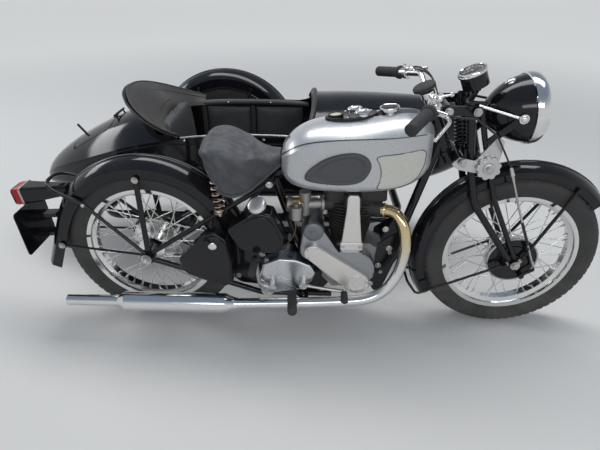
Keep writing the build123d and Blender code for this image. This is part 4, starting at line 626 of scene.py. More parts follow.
def plate(outline, side_from, side_to):
    """A flat plate: an outline of x and z, thick from one distance to the side to another."""
    outline = np.asarray(outline, float)
    count = len(outline)
    sides = (np.full(count, side) for side in (side_from, side_to))
    levels = [np.stack([outline[:, 0], side, outline[:, 1]], 1) for side in sides]
    caps = np.stack([np.arange(count), np.arange(count) + count])
    return np.concatenate(levels), grid_faces(2, count, round_columns=True), caps


def dome_heads(centres, ways, radius, height):
    """Round screw heads: a low dome over a short straight edge, each point of the dome on an ellipse."""
    rise = np.linspace(0, np.pi / 2, 5)
    dome = np.stack([height * (0.35 + 0.65 * np.sin(rise)), radius * np.cos(rise)], 1)
    profile = np.concatenate([[[-1.0, 0.0], [-1.0, radius]], dome])
    return turned(centres, ways, profile, steps=16)


timing_alloy = finish(
    "timing_alloy", (0.42, 0.43, 0.45), (0.3, 0.31, 0.33), (0.25, 0.42), metal=1.0, dust=0.04, height=0.08,
)
buffed_alloy = finish(
    "buffed_alloy", (0.8, 0.77, 0.74), (0.72, 0.69, 0.66), (0.3, 0.42), metal=0.75, dust=0.0, coarse=8,
    height=0.03,
)
dress(timing_alloy, "timing_case")
crank_end, magneto_end, cover_face = (788, 254), (622, 384), -131
cover_outline = two_circle_outline(crank_end, 45, magneto_end, 31)
cover = plate(cover_outline, cover_face + 20, cover_face)
screw_outline = two_circle_outline(crank_end, 39, magneto_end, 25, 5)[1::2]
screw_places = np.insert(screw_outline, 1, cover_face, axis=1)
screws = dome_heads(screw_places, (0, -1, 0), radius=3.4, height=2)
boss_profile = ((0, 0), (0, 34), (3, 34), (4.5, 32.5), (4.5, 29), (3, 28), (3, 0))
boss = turned((crank_end[0], cover_face, crank_end[1]), (0, -1, 0), boss_profile, steps=48)
piece("timing_inner_cover", [cover], buffed_alloy, bevel=1.5)
piece("timing_screws", [screws], bright_steel)
piece("timing_boss", [boss], buffed_alloy)

# Magneto: the drum above the timing case is the frame's own, cast in grey alloy. Its turned end cap is
# screwed on and has a small raised middle.
grey_casting = finish(
    "grey_casting", (0.24, 0.26, 0.28), (0.16, 0.175, 0.19), (0.35, 0.55), metal=0.8, height=0.2,
)
dress(grey_casting, "magneto_dynamo")
end_cap = ((-30, 0), (-30, 37.5), (-2, 37.5), (0, 36), (3, 35), (6, 30), (6, 12), (8, 10), (8, 0))
magneto_cap = turned((622, -112, 464), (0, -1, 0), end_cap, steps=48)
piece("magneto_cap", [magneto_cap], grey_casting)

# Carburettor: the cast body is the frame's own. Its air intake is a lacquered brass bell, turned thin and
# open at the mouth.
bell = ((0, 12), (-1, 25), (4, 27), (12, 25.5), (30, 24.5), (44, 24.5), (46, 22), (46, 12), (20, 12), (0, 12))
dress(cast_alloy, "carburettor")
lacquered_brass = finish("lacquered_brass", (0.8, 0.5, 0.2), (0.62, 0.36, 0.14), (0.2, 0.34), metal=1.0)
bell_mouth = turned((526, -58, 548), (1, 0.12, -0.03), bell, steps=40)
piece("carburettor_bell", [bell_mouth], lacquered_brass)


# Bolts and nuts: bright plated heads on both sides of the machine, where the stays, guards, fork and wheels
# are held. Most are six-sided on a washer; the lifting handle's and the headlamp's are domed.
def both_sides(places):
    """Places on the right side, followed by the same places on the left, and the way out of each side."""
    places = np.asarray(places, float).reshape(-1, 3)
    outward = np.repeat([[0.0, -1.0, 0.0], [0.0, 1.0, 0.0]], len(places), axis=0)
    return np.concatenate([places, places * (1, -1, 1)]), outward


frame_bolts = (
    (467, -91, 637), (-2, -76, 637), (-330, -73.5, 357), (907, -63, 370), (873, -63, 291), (849, -63, 203),
)
frame_bolt_heads = hex_heads(*both_sides(frame_bolts), flats=15, height=8)
piece("frame_bolts", frame_bolt_heads, bright_steel, crease=25)
axle_nuts = hex_heads(*both_sides([(0, -116, 330)]), flats=26, height=13) + [turned(
    *both_sides([(0, -128, 330)]), ((0, 0), (0, 8), (5, 8), (6.5, 6), (6.5, 0)), steps=24,
)]
piece("rear_axle_nuts", axle_nuts, bright_steel, crease=25)
handle_bolts = [dome_heads(*both_sides([(-204, -82, 537)]), radius=8, height=6)]
piece("handle_bolts", handle_bolts, bright_steel)
fork_bolts = ((1373, -96, 326), (1347, -78, 321), (1391, -83.5, 339))
fork_nuts = hex_heads(*both_sides(fork_bolts[:1]), flats=22, height=11)
fork_nuts += hex_heads(*both_sides(fork_bolts[1:]), flats=12, height=6)
piece("fork_end_nuts", fork_nuts, bright_steel, "steering", crease=25)
link_places = [steering_point(along, out, -92) for along, out in ((92, 36), (53, 116), (-94, 28))]
link_nuts = hex_heads(*both_sides(link_places), flats=17, height=9)
piece("link_nuts", link_nuts, bright_steel, "steering", crease=25)
lamp_bolts = [dome_heads(*both_sides([(1256, -116, 887)]), radius=11, height=9), turned(
    *both_sides([(1256, -116, 887)]), ((-1.5, 0), (-1.5, 15), (1, 15), (1, 0)), steps=28,
)]
piece("headlamp_bolts", lamp_bolts, chrome_plate, "steering")


# Fork: the girder, its links and the clipped-up front stand are the frame's own, in black enamel. The
# damper is a bright cast plate over the lower link, with a scalloped hand knob and its nut.
def rounded(corners, cut):
    """A closed outline whose corners are rounded: each becomes a parabola between the points at the cut's
    distance from it on its two sides."""
    corners = np.asarray(corners, float)
    back, on = unit(np.roll(corners, 1, 0) - corners), unit(np.roll(corners, -1, 0) - corners)
    step = np.linspace(0, 1, 6)[None, :, None]
    start, end = corners + back * cut, corners + on * cut
    curve = (1 - step) ** 2 * start[:, None] + 2 * step * (1 - step) * corners[:, None]
    curve = curve + step ** 2 * end[:, None]
    return curve.reshape(-1, 2)


polished_alloy = finish(
    "polished_alloy", (0.66, 0.66, 0.65), (0.52, 0.52, 0.52), (0.2, 0.36), metal=1.0, dust=0.04, coarse=9,
    height=0.04,
)
dress(black_enamel, "fork_links", "girder", "front_stand")
damper_outline = np.array((
    (1072, 721), (1096, 744), (1149, 734), (1205, 816), (1230, 802), (1228, 744), (1215, 697), (1180, 686),
    (1099, 700),
), float)
piece(
    "damper_plate_face", [plate(rounded(damper_outline, cut=6), -73.6, -81.6)], polished_alloy, "steering",
    bevel=1.0,
)
knob_centre = steering_point(-146, 99)
scallops, knob_radius, scallop_depth = 9, 40.5, 5.5
knob_angle = np.radians(np.arange(0, 360, 2.5))
edge_radius = knob_radius - scallop_depth * (0.5 + 0.5 * np.cos(scallops * knob_angle)) ** 1.6
knob_edge = edge_radius[:, None] * np.stack([np.cos(knob_angle), np.sin(knob_angle)], 1)
knob_face = ((0, 0), (0, 20), (3, 20), (5, 17), (5, 0))
knob_shapes = [
    plate(knob_centre[[0, 2]] + knob_edge, -83.4, -97.0),
    turned(knob_centre * (1, 0, 1) + (0, -97, 0), (0, -1, 0), knob_face, steps=40),
]
piece("damper_knob", knob_shapes, polished_alloy, "steering", bevel=1.4)
knob_nut = hex_heads([knob_centre * (1, 0, 1) + (0, -102, 0)], (0, -1, 0), flats=19, height=9)
piece("damper_nut", knob_nut, bright_steel, "steering", crease=25)


# Foot controls: ribbed rubber sleeves pushed on the footrests, the kick-starter's pedal and the gear
# lever's toe piece
def ribbed_rubber(start, end, radius, ribs):
    """A rubber sleeve along a line: its radius falls, as a cosine to the fourth power, between evenly
    spaced ribs, and follows a quarter circle at both ends."""
    groove_depth, end_share, steps_along = 1.4, 0.05, 120
    share = np.linspace(0, 1, steps_along)
    ends = np.minimum(share, 1 - share)
    groove = (0.5 - 0.5 * np.cos(2 * np.pi * ribs * share)) ** 4
    rounding = np.sqrt(np.clip(1 - np.clip(1 - ends / end_share, 0, 1) ** 2, 0.2, 1))
    size = radius * rounding - groove_depth * groove
    path = np.asarray(start, float) + share[:, None] * (np.asarray(end, float) - np.asarray(start, float))
    return swept(path, radius=size, sides=24)


black_rubber = finish(
    "black_rubber", (0.022, 0.022, 0.023), (0.035, 0.034, 0.033), (0.6, 0.8), dust=0.1, height=0.1,
)
dress(bright_steel, "foot_levers")
foot_rubbers = [
    ribbed_rubber((548, side * 184, 244), (554, side * end, 253), radius=17, ribs=10)
    for side, end in ((-1, 302), (1, 242))
]
foot_rubbers.append(ribbed_rubber((412, -158, 363.5), (410, -228, 355.8), radius=14.5, ribs=7))
foot_rubbers.append(ribbed_rubber((742, -150, 222), (742, -200, 222), radius=13, ribs=5))
piece("foot_rubbers", foot_rubbers, black_rubber, crease=60)


# Front brake: the fixed plate, the frame's own, has a polished ring round its edge. The cable's rubber
# cover sits on a bare steel wire, with a plated adjuster at its top and a ferrule at the brake's arm.
def smooth_line(corners, closed=False, rounds=3):
    """Corners rounded off: each round puts points at a quarter and at three quarters of every side."""
    line = np.asarray(corners, float)
    for _ in range(rounds):
        ahead = np.roll(line, -1, axis=0) if closed else line[1:]
        here = line if closed else line[:-1]
        cut = np.stack([0.75 * here + 0.25 * ahead, 0.25 * here + 0.75 * ahead], 1).reshape(-1, line.shape[1])
        line = cut if closed else np.concatenate([line[:1], cut, line[-1:]])
    return line


dress(black_enamel, "brake_plate")
dress(black_rubber, "brake_cable")
ring_profile = ((-6, 89), (-6, 95), (1, 95), (3, 93), (3, 90), (0.5, 88.5))
plate_ring = turned(front_axle + (0, -62, 0), (0, -1, 0), ring_profile, steps=80)
piece("brake_plate_ring", [plate_ring], polished_alloy, "steering")
wire_way = unit(np.array([68.0, 2.0, -160.0]))
adjuster_profile = ((0, 0), (0, 4), (6, 6.5), (22, 6.5), (24, 8), (32, 8), (34, 5.5), (58, 4.6), (60, 0))
wire_points = np.array([(1284, -97.4, 668), (1330, -96, 560), (1404, -94, 400), (1440, -87, 327)])
cable_fittings = [
    turned((1262, -98, 720), wire_way, adjuster_profile, steps=20),
    swept(smooth_line(wire_points, rounds=2), radius=3.9, sides=10),
    turned((1433, -88, 344), unit((48, 10, -96)), ((0, 0), (0, 6), (26, 6), (30, 0)), steps=16),
]
piece("brake_cable_fittings", cable_fittings, bright_steel, "steering")

# Exhaust pipe: one drawn and plated tube with a slow bend, held to the port by a plain collar and pushed
# into the silencer at the back. Near the port the chrome has gone straw yellow, and lower down it is clean.
heated = chrome_plate.copy()
heated.name = "heated_chrome"
heated_tree = heated.node_tree
heated_colour = heated_tree.nodes["Principled BSDF"].inputs["Base Color"]
heat_place = shader_node(heated_tree, "ShaderNodeTexCoord", (-900, 500))
heat_height = shader_node(heated_tree, "ShaderNodeSeparateXYZ", (-700, 500))
heat_share = shader_node(
    heated_tree, "ShaderNodeMapRange", (-500, 500), interpolation_type="SMOOTHSTEP",
    From__Min=0.3, From__Max=0.5, To__Max=0.8,
)
heat_tint = shader_node(
    heated_tree, "ShaderNodeMix", (-150, 400), data_type="RGBA", B=(0.68, 0.5, 0.2, 1),
)
join(
    heated_tree,
    (heat_place.outputs["Object"], heat_height.inputs[0]),
    (heat_height.outputs["Z"], heat_share.inputs["Value"]),
    (heat_share.outputs[0], heat_tint.inputs["Factor"]),
    (heated_colour.links[0].from_socket, heat_tint.inputs["A"]),
    (heat_tint.outputs["Result"], heated_colour),
)
dress(heated, "exhaust_pipe")
dress(chrome_plate, "silencer")
port, port_way = np.array([862.0, -58, 534]), unit((85.0, -28, -1))
pipe_bends = np.array([
    (908, -76, 536), (940, -106, 500), (951, -126, 436), (948, -134, 366), (930, -140, 293),
    (894, -146, 232), (838, -152, 198), (770, -158, 190), (640, -165, 186), (480, -168, 180),
    (338, -168, 174),
])
pipe_line = np.concatenate([port + port_way * np.array([[-3], [8]]), pipe_bends])
collar_line = port + port_way * np.array([[4], [5], [15], [16]])
exhaust = [
    swept(smooth_line(pipe_line), radius=20, sides=36, guide=(0, 1, 0)),
    swept(collar_line, radius=(23, 24, 24, 23), sides=36, guide=(0, 1, 0)),
]
piece("exhaust_bend", exhaust, heated, replaces=["exhaust_pipe"], crease=50)

# Gearbox and chains: the casting, the primary case and the oiled rear chain are the frame's own. The
# kick-starter's spring is behind a round buffed cover, held by three small screws.
gearbox_alloy = finish(
    "gearbox_alloy", (0.72, 0.74, 0.77), (0.5, 0.52, 0.55), (0.18, 0.34), metal=1.0, dust=0.04, height=0.06,
)
chain_steel = finish(
    "chain_steel", (0.16, 0.14, 0.12), (0.08, 0.07, 0.06), (0.35, 0.5), metal=1.0, dust=0.3,
)
dress(gearbox_alloy, "gearbox")
dress(black_enamel, "primary_case")
dress(chain_steel, "rear_chain")
spring_cover, screw_circle, cover_height = np.array([452.0, -110, 198]), 17, 6
cover_turn = np.radians([20, 140, 260])
screw_ways = np.stack([np.cos(cover_turn), 0 * cover_turn, np.sin(cover_turn)], 1)
cover_screws = spring_cover + screw_circle * screw_ways - (0, cover_height, 0)
cover_profile = ((0, 0), (0, 25), (4, 25), (6, 23), (6, 9), (4.5, 8), (4.5, 0))
piece(
    "kick_start_cover", [turned(spring_cover, (0, -1, 0), cover_profile, steps=40)], buffed_alloy,
)
cover_screw_heads = dome_heads(cover_screws, (0, -1, 0), radius=3.2, height=2)
piece("kick_start_screws", [cover_screw_heads], bright_steel)

# Toolbox and oil tank: enamelled sheet steel, the frame's own. Their outer faces are pressed out a little
# and have soft edges.
dress(black_enamel, "toolbox", "oil_tank")
toolbox_face = [
    (142, 350), (172, 392), (206, 428), (240, 451), (268, 460), (300, 440), (315, 410), (320, 348),
    (319, 262), (300, 241), (226, 263), (162, 291), (143, 312),
]
oil_tank_face = [
    (326, 478), (422, 544), (470, 535), (508, 452), (508, 419), (491, 397), (384, 394), (358, 415),
]
pressed = [plate(smooth_line(face, closed=True), -140, -147) for face in (toolbox_face, oil_tank_face)]
piece("pressed_faces", pressed, black_enamel, bevel=2.5)

# Pushrod tower: a polished casting that widens towards its foot and is bolted to the timing case. It runs
# up in front of the rocker box, close under the fuel tank.
dress(polished_alloy, "pushrod_tower")
tower_outline = [
    (724, 424), (796, 424), (793, 448), (786, 505), (780, 560), (777, 604), (771, 612), (742, 612),
    (736, 604), (735, 560), (731, 505), (726, 448),
]
foot_outline = rounded([(720, 392), (801, 392), (800, 426), (719, 426)], cut=7)
tower_shapes = [plate(tower_outline, -100, -114), plate(foot_outline, -100, -118)]
piece("tower_face", tower_shapes, buffed_alloy, bevel=3)
tower_bolts = hex_heads([(729, -118, 409), (791, -118, 409)], (0, -1, 0), flats=9, height=5)
piece("tower_bolts", tower_bolts, bright_steel, crease=25)

# Rear engine plates: flat black steel on each side between the gearbox and the seat tube's foot, held by
# bright nuts
rear_plate = [(308, 330), (352, 352), (424, 348), (446, 300), (446, 196), (410, 172), (336, 182), (304, 214)]
rear_plates = [plate(rounded(rear_plate, cut=12), side * 38, side * 44) for side in (-1, 1)]
piece("rear_plates", rear_plates, black_enamel, bevel=1.0)
plate_nuts = hex_heads(*both_sides([(342, -44, 288), (330, -44, 214)]), flats=15, height=8)
piece("rear_plate_nuts", plate_nuts, bright_steel, crease=25)


# Fuel tank: silver enamel with a dark line along its shoulder and a cream panel outlined in dark at the
# front of each side. The lines and the panel lie on the tank as thin paint.
def painted(name, flat_points, face_lists, material, side):
    """A film of paint: a flat shape of x and z beside the tank, pressed on to the tank's surface."""
    flat_points = np.asarray(flat_points, float)
    points = np.stack([flat_points[:, 0], np.full(len(flat_points), side * 150.0), flat_points[:, 1]], 1)
    film = piece(name, [(points, *face_lists)], material, crease=60)
    film_thickness = 0.0006
    press = film.modifiers.new("press_on", "SHRINKWRAP")
    press.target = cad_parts["fuel_tank"]
    press.wrap_method = "PROJECT"
    press.use_project_y = True
    press.use_negative_direction = side > 0
    press.use_positive_direction = side < 0
    press.offset = film_thickness
    return film


def line_strip(corners, width, closed=False):
    """A strip of even width along a line of x and z: points half the width to each side of it."""
    line = smooth_line(corners, closed)
    ahead = np.roll(line, -1, 0) - np.roll(line, 1, 0) if closed else np.gradient(line, axis=0)
    ahead = unit(ahead)
    square = np.stack([-ahead[:, 1], ahead[:, 0]], 1) * width / 2
    points = np.stack([line - square, line - square / 3, line + square / 3, line + square], 1)
    return points.reshape(-1, 2), [grid_faces(len(line), 4, round_rows=closed)]


silver_paint = finish(
    "silver_paint", (0.54, 0.55, 0.56), (0.51, 0.52, 0.53), (0.26, 0.3), metal=0.5, coat=0.7, dust=0.0,
    coarse=6,
)
dress(silver_paint, "fuel_tank")
line_paint = finish("line_paint", (0.035, 0.05, 0.05), (0.05, 0.06, 0.06), (0.2, 0.3), coat=0.5, dust=0.0)
cream_paint = finish("cream_paint", (0.62, 0.61, 0.55), (0.58, 0.57, 0.51), (0.22, 0.3), coat=0.7, dust=0.0)
shoulder_line = (
    (510, 734), (522, 748), (548, 770), (586, 790), (640, 805), (712, 814), (794, 818), (870, 822),
    (930, 826), (976, 826),
)
panel_corners = np.array((
    (812, 762), (898, 770), (962, 778), (980, 770), (984, 750), (980, 712), (952, 668), (912, 648),
    (822, 640), (836, 675), (838, 708), (828, 740),
), float)
panel_rings = 14
panel_middle = panel_corners.mean(0)
panel_edge = smooth_line(panel_corners, closed=True, rounds=3)
shrink = np.linspace(1, 0, panel_rings)[:, None, None]
panel_fill = panel_middle + (panel_edge - panel_middle)[None] * shrink
panel_faces = grid_faces(panel_rings, len(panel_edge), round_columns=True)
for side, label in ((-1, "right"), (1, "left")):
    painted(f"tank_line_{label}", *line_strip(shoulder_line, width=3.2), line_paint, side)
    painted(f"tank_panel_{label}", panel_fill.reshape(-1, 2), [panel_faces], cream_paint, side)
    painted(f"tank_panel_line_{label}", *line_strip(panel_corners, width=3.4, closed=True), line_paint, side)

# Knee grips: moulded rubber pads screwed to the tank's sides, with a thick rounded rim and a hollowed
# middle
knee_corners = np.array((
    (584, 688), (606, 716), (664, 758), (742, 776), (786, 764), (806, 734), (800, 702), (776, 668),
    (708, 656), (594, 668),
), float)


def knee_grip(side):
    """A pad over the outline: going in from its edge it rises to a rounded rim, falls to the hollow and
    rises a little to the middle. Each ring is the outline brought nearer to its middle point."""
    tank_side = 127.0
    edge = smooth_line(knee_corners, closed=True, rounds=3)
    middle = edge.mean(0) + (8, 2)
    inward = np.array([1.0, 1.0, 0.975, 0.94, 0.88, 0.82, 0.77, 0.73, 0.70, 0.66, 0.5, 0.3, 0.12, 0.0])
    rise = np.array([-6.0, 2.0, 6.5, 9.0, 9.8, 9.0, 7.0, 4.6, 3.4, 3.0, 3.6, 4.2, 4.4, 4.4])
    rings = middle + (edge - middle)[None] * inward[:, None, None]
    height = np.broadcast_to(rise[:, None], rings.shape[:2])
    points = np.stack([rings[..., 0], side * (tank_side + height), rings[..., 1]], -1)
    return points, grid_faces(len(inward), len(edge), round_columns=True), np.arange(len(edge))[None]


dress(black_rubber, "tank_fittings")
grip_rubber = finish(
    "grip_rubber", (0.06, 0.062, 0.068), (0.1, 0.1, 0.106), (0.42, 0.6), dust=0.0, coarse=22, height=0.15,
)
piece(
    "knee_grips", [knee_grip(-1), knee_grip(1)], grip_rubber, crease=60,
    replaces=["tank_fittings"],
)

# Tank-top panel: a black oval plate with a cream gauge at its rear, two bright turned knobs with a grip
# bar each and three round-headed screws
panel_up = unit((-0.11, 0.0, 1.0))
panel_along = unit((1.0, 0.0, 0.11))


def on_panel(along, across, rise=0.0):
    """A place on the tank-top panel: along the tank, to the left and above the plate's face."""
    return np.array([739, 0, 856.0]) + along * panel_along + np.array([0, across, 0.0]) + rise * panel_up


def oval_plate():
    """The plate's rings: an ellipse drawn in towards its middle while it rises over a rounded edge."""
    half_length, half_width, steps = 88, 47, 72
    angle = np.linspace(0, 2 * np.pi, steps, endpoint=False)
    size = np.array([1.0, 1.0, 0.985, 0.955, 0.9, 0.0])
    rise = np.array([-16.0, 1.0, 3.4, 4.6, 4.0, 4.0])
    flat = np.stack([half_length * np.cos(angle), half_width * np.sin(angle)], 1)[None] * size[:, None, None]
    points = on_panel(0, 0) + flat[..., :1] * panel_along + flat[..., 1:] * np.array([0, 1.0, 0])
    points = points + rise[:, None, None] * panel_up
    return points, grid_faces(len(size), steps, round_columns=True)


piece("panel_plate", [oval_plate()], black_enamel, crease=50)
gauge_place = on_panel(-52, 0, 3)
gauge_ring = ((0, 26), (6, 26), (7.5, 24.5), (7.5, 21.5), (5.5, 20.5), (4, 20.5))
gauge_rim = turned(gauge_place, panel_up, gauge_ring, steps=48)
piece("panel_gauge_ring", [gauge_rim], black_enamel)
dial_cream = finish("dial_cream", (0.68, 0.62, 0.46), (0.6, 0.54, 0.4), (0.3, 0.4), coat=0.6, dust=0.0)
gauge_dial = turned(gauge_place, panel_up, ((4.2, 21), (4.2, 0)), steps=48)
piece("panel_gauge_dial", [gauge_dial], dial_cream)
knob_places = ((14, 20), (36, -21))
knob_body = ((0, 22), (7, 22), (10, 24.5), (13, 25), (15.5, 23), (16.5, 18), (14, 15), (13, 0))
knobs = [turned([on_panel(*place, 3) for place in knob_places], panel_up, knob_body, steps=48)]
bar_way = unit(panel_along + np.array([0, 0.55, 0]))
bar_thickness = 5.5 * np.sqrt(1 - np.linspace(-0.93, 0.93, 11) ** 2) + 0.8
for place in knob_places:
    bar = on_panel(*place, 16.5) + bar_way * np.linspace(-19, 19, 11)[:, None]
    knobs.append(swept(bar, radius=bar_thickness, sides=12, guide=panel_up))
piece("panel_knobs", knobs, chrome_plate, crease=30)
panel_screws = [on_panel(-18, 34, 4), on_panel(-14, -36, 4), on_panel(66, 20, 4)]
panel_screw_heads = dome_heads(panel_screws, panel_up, radius=4.5, height=3)
piece("panel_screws", [panel_screw_heads], bright_steel)

# Filler cap: a plated cap on the tank's top, in front of the panel. A dark plate is let into its top, so
# that a bright rim shows round it.
cap_up = unit((-0.12, 0.0, 1.0))
cap_foot = np.array([866.0, 0.0, 858.0])
cap_ring = ((0, 24), (16, 26), (17, 32), (19, 33.5), (26, 33.5), (29.5, 32), (30, 30), (28.5, 28), (28, 0))
piece("filler_cap", [turned(cap_foot, cap_up, cap_ring, steps=64)], chrome_plate)
cap_plate = ((27.5, 0), (27.5, 27.5), (29, 26.5), (30.2, 20), (30.5, 0))
piece("filler_cap_plate", [turned(cap_foot, cap_up, cap_plate, steps=64)], black_enamel)

# Oil filler cap: a broad plated cap on the oil tank. A dark rubber strap lies down the tank's face, and the
# toolbox's lid has a turned and plated knob.
satin_chrome = finish(
    "satin_chrome", (0.86, 0.86, 0.85), (0.78, 0.78, 0.77), (0.3, 0.4), metal=0.85, dust=0.0,
)
cap_profile = ((14, 0), (14, 30), (16, 32.5), (27, 32.5), (31, 30.5), (33, 25), (33.6, 12), (33.6, 0))
oil_cap = turned((433, -118, 556), (-0.3, -0.35, 0.9), cap_profile, steps=64)
piece("oil_filler_cap", [oil_cap], satin_chrome)
strap_outline = rounded([(420, 534), (430, 534), (446, 470), (452, 388), (441, 388), (436, 468)], cut=4)
piece("oil_tank_strap", [plate(strap_outline, -141, -144.4)], black_rubber, bevel=0.8)
knob_turning = ((0, 0), (0, 9), (3, 9), (4, 14), (6, 15.5), (9, 15), (11, 12), (12, 0))
toolbox_knob = turned((263, -141.5, 418), (0, -1, 0), knob_turning, steps=32)
piece("toolbox_knob", [toolbox_knob], chrome_plate)

# Copper pipe: one thin bare copper tube, bent by hand, that runs down beside the carburettor to behind the
# timing case
copper = finish("copper_pipe", (0.5, 0.26, 0.16), (0.36, 0.2, 0.13), (0.25, 0.4), metal=1.0)
copper_bends = [(540, -76, 540), (552, -84, 500), (560, -84, 462), (548, -80, 420), (528, -72, 392)]
piece("copper_pipe", [swept(smooth_line(copper_bends), radius=2.2, sides=8)], copper)

# Saddle: thick hide stretched from a rear hoop to the nose, crowned across and hollow along. It is worn
# and creased, and its edges are rolled. Each row below is a place along the saddle, half the width there,
# and the heights of the skirt's edge, the shoulder and the top.
saddle_rows = smooth_line([
    (240, 80, 722, 744, 760), (249, 110, 696, 756, 786), (280, 140, 652, 762, 804), (334, 147, 606, 752, 798),
    (390, 120, 606, 730, 764), (446, 72, 642, 714, 742), (504, 42, 690, 716, 736),
], rounds=3)


def saddle_hide():
    """Rows along the saddle; across each row the hide rises from the skirt's edge to the shoulder, leaning
    out, and then over the top on a flattened arc with a shallow hollow on each side of the middle. Low
    waves that run round the seat stand for its creases, and cubed waves on the flanks for the folds that
    pull towards the nose."""
    shoulder_share, hollow_depth, crease_height, fold_height, pull_depth = 0.66, 7, 3.4, 5, 20
    x, half, skirt, shoulder, top = saddle_rows.T[:, :, None]
    across = np.linspace(-1, 1, 61)[None]
    over = np.clip(np.abs(across) / shoulder_share, 0, 1)
    down = np.clip((np.abs(across) - shoulder_share) / (1 - shoulder_share), 0, 1)
    y = np.sign(across) * half * (0.985 * over ** 0.92 + 0.03 * np.sin(np.pi * down) - 0.10 * down ** 2)
    z = shoulder + (top - shoulder) * (1 - over ** 2.6) - hollow_depth * np.sin(np.pi * over) ** 2
    z = z - (shoulder - skirt) * down ** 1.15 + 0 * x
    x = x + 0 * y - 10 * down * np.sign(x - 300) * (1 - np.abs(x - 300) / 220)
    ring = np.hypot((x - 318) / 1.25, y)
    crease = np.sin(ring / 4.6 + 1.3 * np.sin(x / 23) + 1.1 * np.sin(y / 21))
    wave = crease_height * crease * np.clip(1.3 - ring / 130, 0, 1)
    nose_fold = np.sin((x + 0.7 * y) / 17 + 1.5 * np.sin(y / 31)) ** 3
    wave = wave + fold_height * nose_fold * np.clip((x - 330) / 60, 0, 1)
    pull = np.sin((x - 300) / 15 + (z - 700) / 17 + 1.9 * np.sin(x / 47 + z / 60)) ** 3
    pull_share = np.sqrt(down) * (1.1 - down) * np.clip((x - 250) / 60, 0, 1)
    y = y + pull_depth * pull * np.sign(across) * pull_share
    z = z + wave * np.clip(1 - 1.1 * down, 0, 1)
    return np.stack([x, y, z], -1), grid_faces(*x.shape)


saddle_leather = finish(
    "saddle_leather", (0.03, 0.032, 0.037), (0.12, 0.124, 0.132), (0.34, 0.52), dust=0.0, coarse=30, fine=300,
    height=1.3,
)
dress(saddle_leather, "saddle")
hide_shape = saddle_hide()
hide = piece(
    "saddle_hide", [hide_shape], saddle_leather, replaces=["saddle"], crease=70,
)
thickness = hide.modifiers.new("thickness", "SOLIDIFY")
thickness.thickness = 0.007
thickness.offset = -1
hide_softness = hide.modifiers.new("softness", "SUBSURF")
hide_softness.levels = hide_softness.render_levels = 1
hide_points = hide_shape[0]
rolled_edges = [swept(hide_points[0], radius=7, sides=12, guide=(1, 0, 0))]
for edge in (hide_points[:, 0], hide_points[:, -1]):
    rolled_edges.append(swept(edge, radius=5.5, sides=10, guide=(0, 1, 0)))
piece("saddle_rolled_edge", rolled_edges, saddle_leather)

# Headlamp: the black shell is the frame's own. Its broad plated rim holds a ribbed convex glass, with a
# mirror bowl and a bulb in its holder behind it.
dress(black_enamel, "headlamp")
dress(chrome_plate, "headlamp_glass")
lamp_centre = np.array([1306.0, 0, 888.0])
lamp_way = np.array([np.cos(np.radians(6.5)), 0, np.sin(np.radians(6.5))])
rim_curve = (
    (-12, 110.5), (-10, 115), (-2, 117), (14, 116.5), (26, 113), (33, 107), (34, 102), (30, 100), (20, 100),
)
rim = turned(lamp_centre, lamp_way, rim_curve, steps=96)
piece("headlamp_rim", [rim], chrome_plate, "steering")
bowl = ((24, 100), (6, 92), (-18, 76), (-38, 54), (-50, 30), (-54, 0))
mirror = turned(lamp_centre, lamp_way, bowl, steps=72)
piece("headlamp_mirror", [mirror], chrome_plate, "steering", ["headlamp_glass"])
bulb_profile = ((-56, 0), (-56, 11), (-30, 11), (-26, 14), (-14, 15), (-4, 10), (0, 0))
bulb = turned(lamp_centre, lamp_way, bulb_profile, steps=28)
piece("headlamp_bulb", [bulb], polished_alloy, "steering")


def lamp_front():
    """A shallow dome whose depth falls with the square of the radius, with upright flutes: waves across it
    that stop short of the edge."""
    glass_radius, fluted_radius, dome_depth, flute_depth = 102, 94, 13, 0.7
    angle = np.linspace(0, 2 * np.pi, 96, endpoint=False)
    radius = np.linspace(0, glass_radius, 30)
    radius, angle = np.meshgrid(radius, angle, indexing="ij")
    side, up = radius * np.cos(angle), radius * np.sin(angle)
    ahead_by = 26 + dome_depth * (1 - (radius / glass_radius) ** 2)
    ahead_by = ahead_by + flute_depth * np.cos(side * 0.55) * (radius < fluted_radius)
    lamp_up = np.array([-lamp_way[2], 0, lamp_way[0]])
    points = lamp_centre + ahead_by[..., None] * lamp_way + side[..., None] * np.array([0, 1.0, 0])
    return points + up[..., None] * lamp_up, grid_faces(*radius.shape, round_columns=True)


clear_glass = bpy.data.materials.new("clear_glass")
clear_glass.use_nodes = True
glass_surface = clear_glass.node_tree.nodes["Principled BSDF"]
glass_surface.inputs["Transmission Weight"].default_value = 1.0
glass_surface.inputs["Roughness"].default_value = 0.03
glass_surface.inputs["IOR"].default_value = 1.2
front = piece("headlamp_front", [lamp_front()], clear_glass, "steering", crease=60)
pane = front.modifiers.new("pane", "SOLIDIFY")
pane.thickness = 0.003

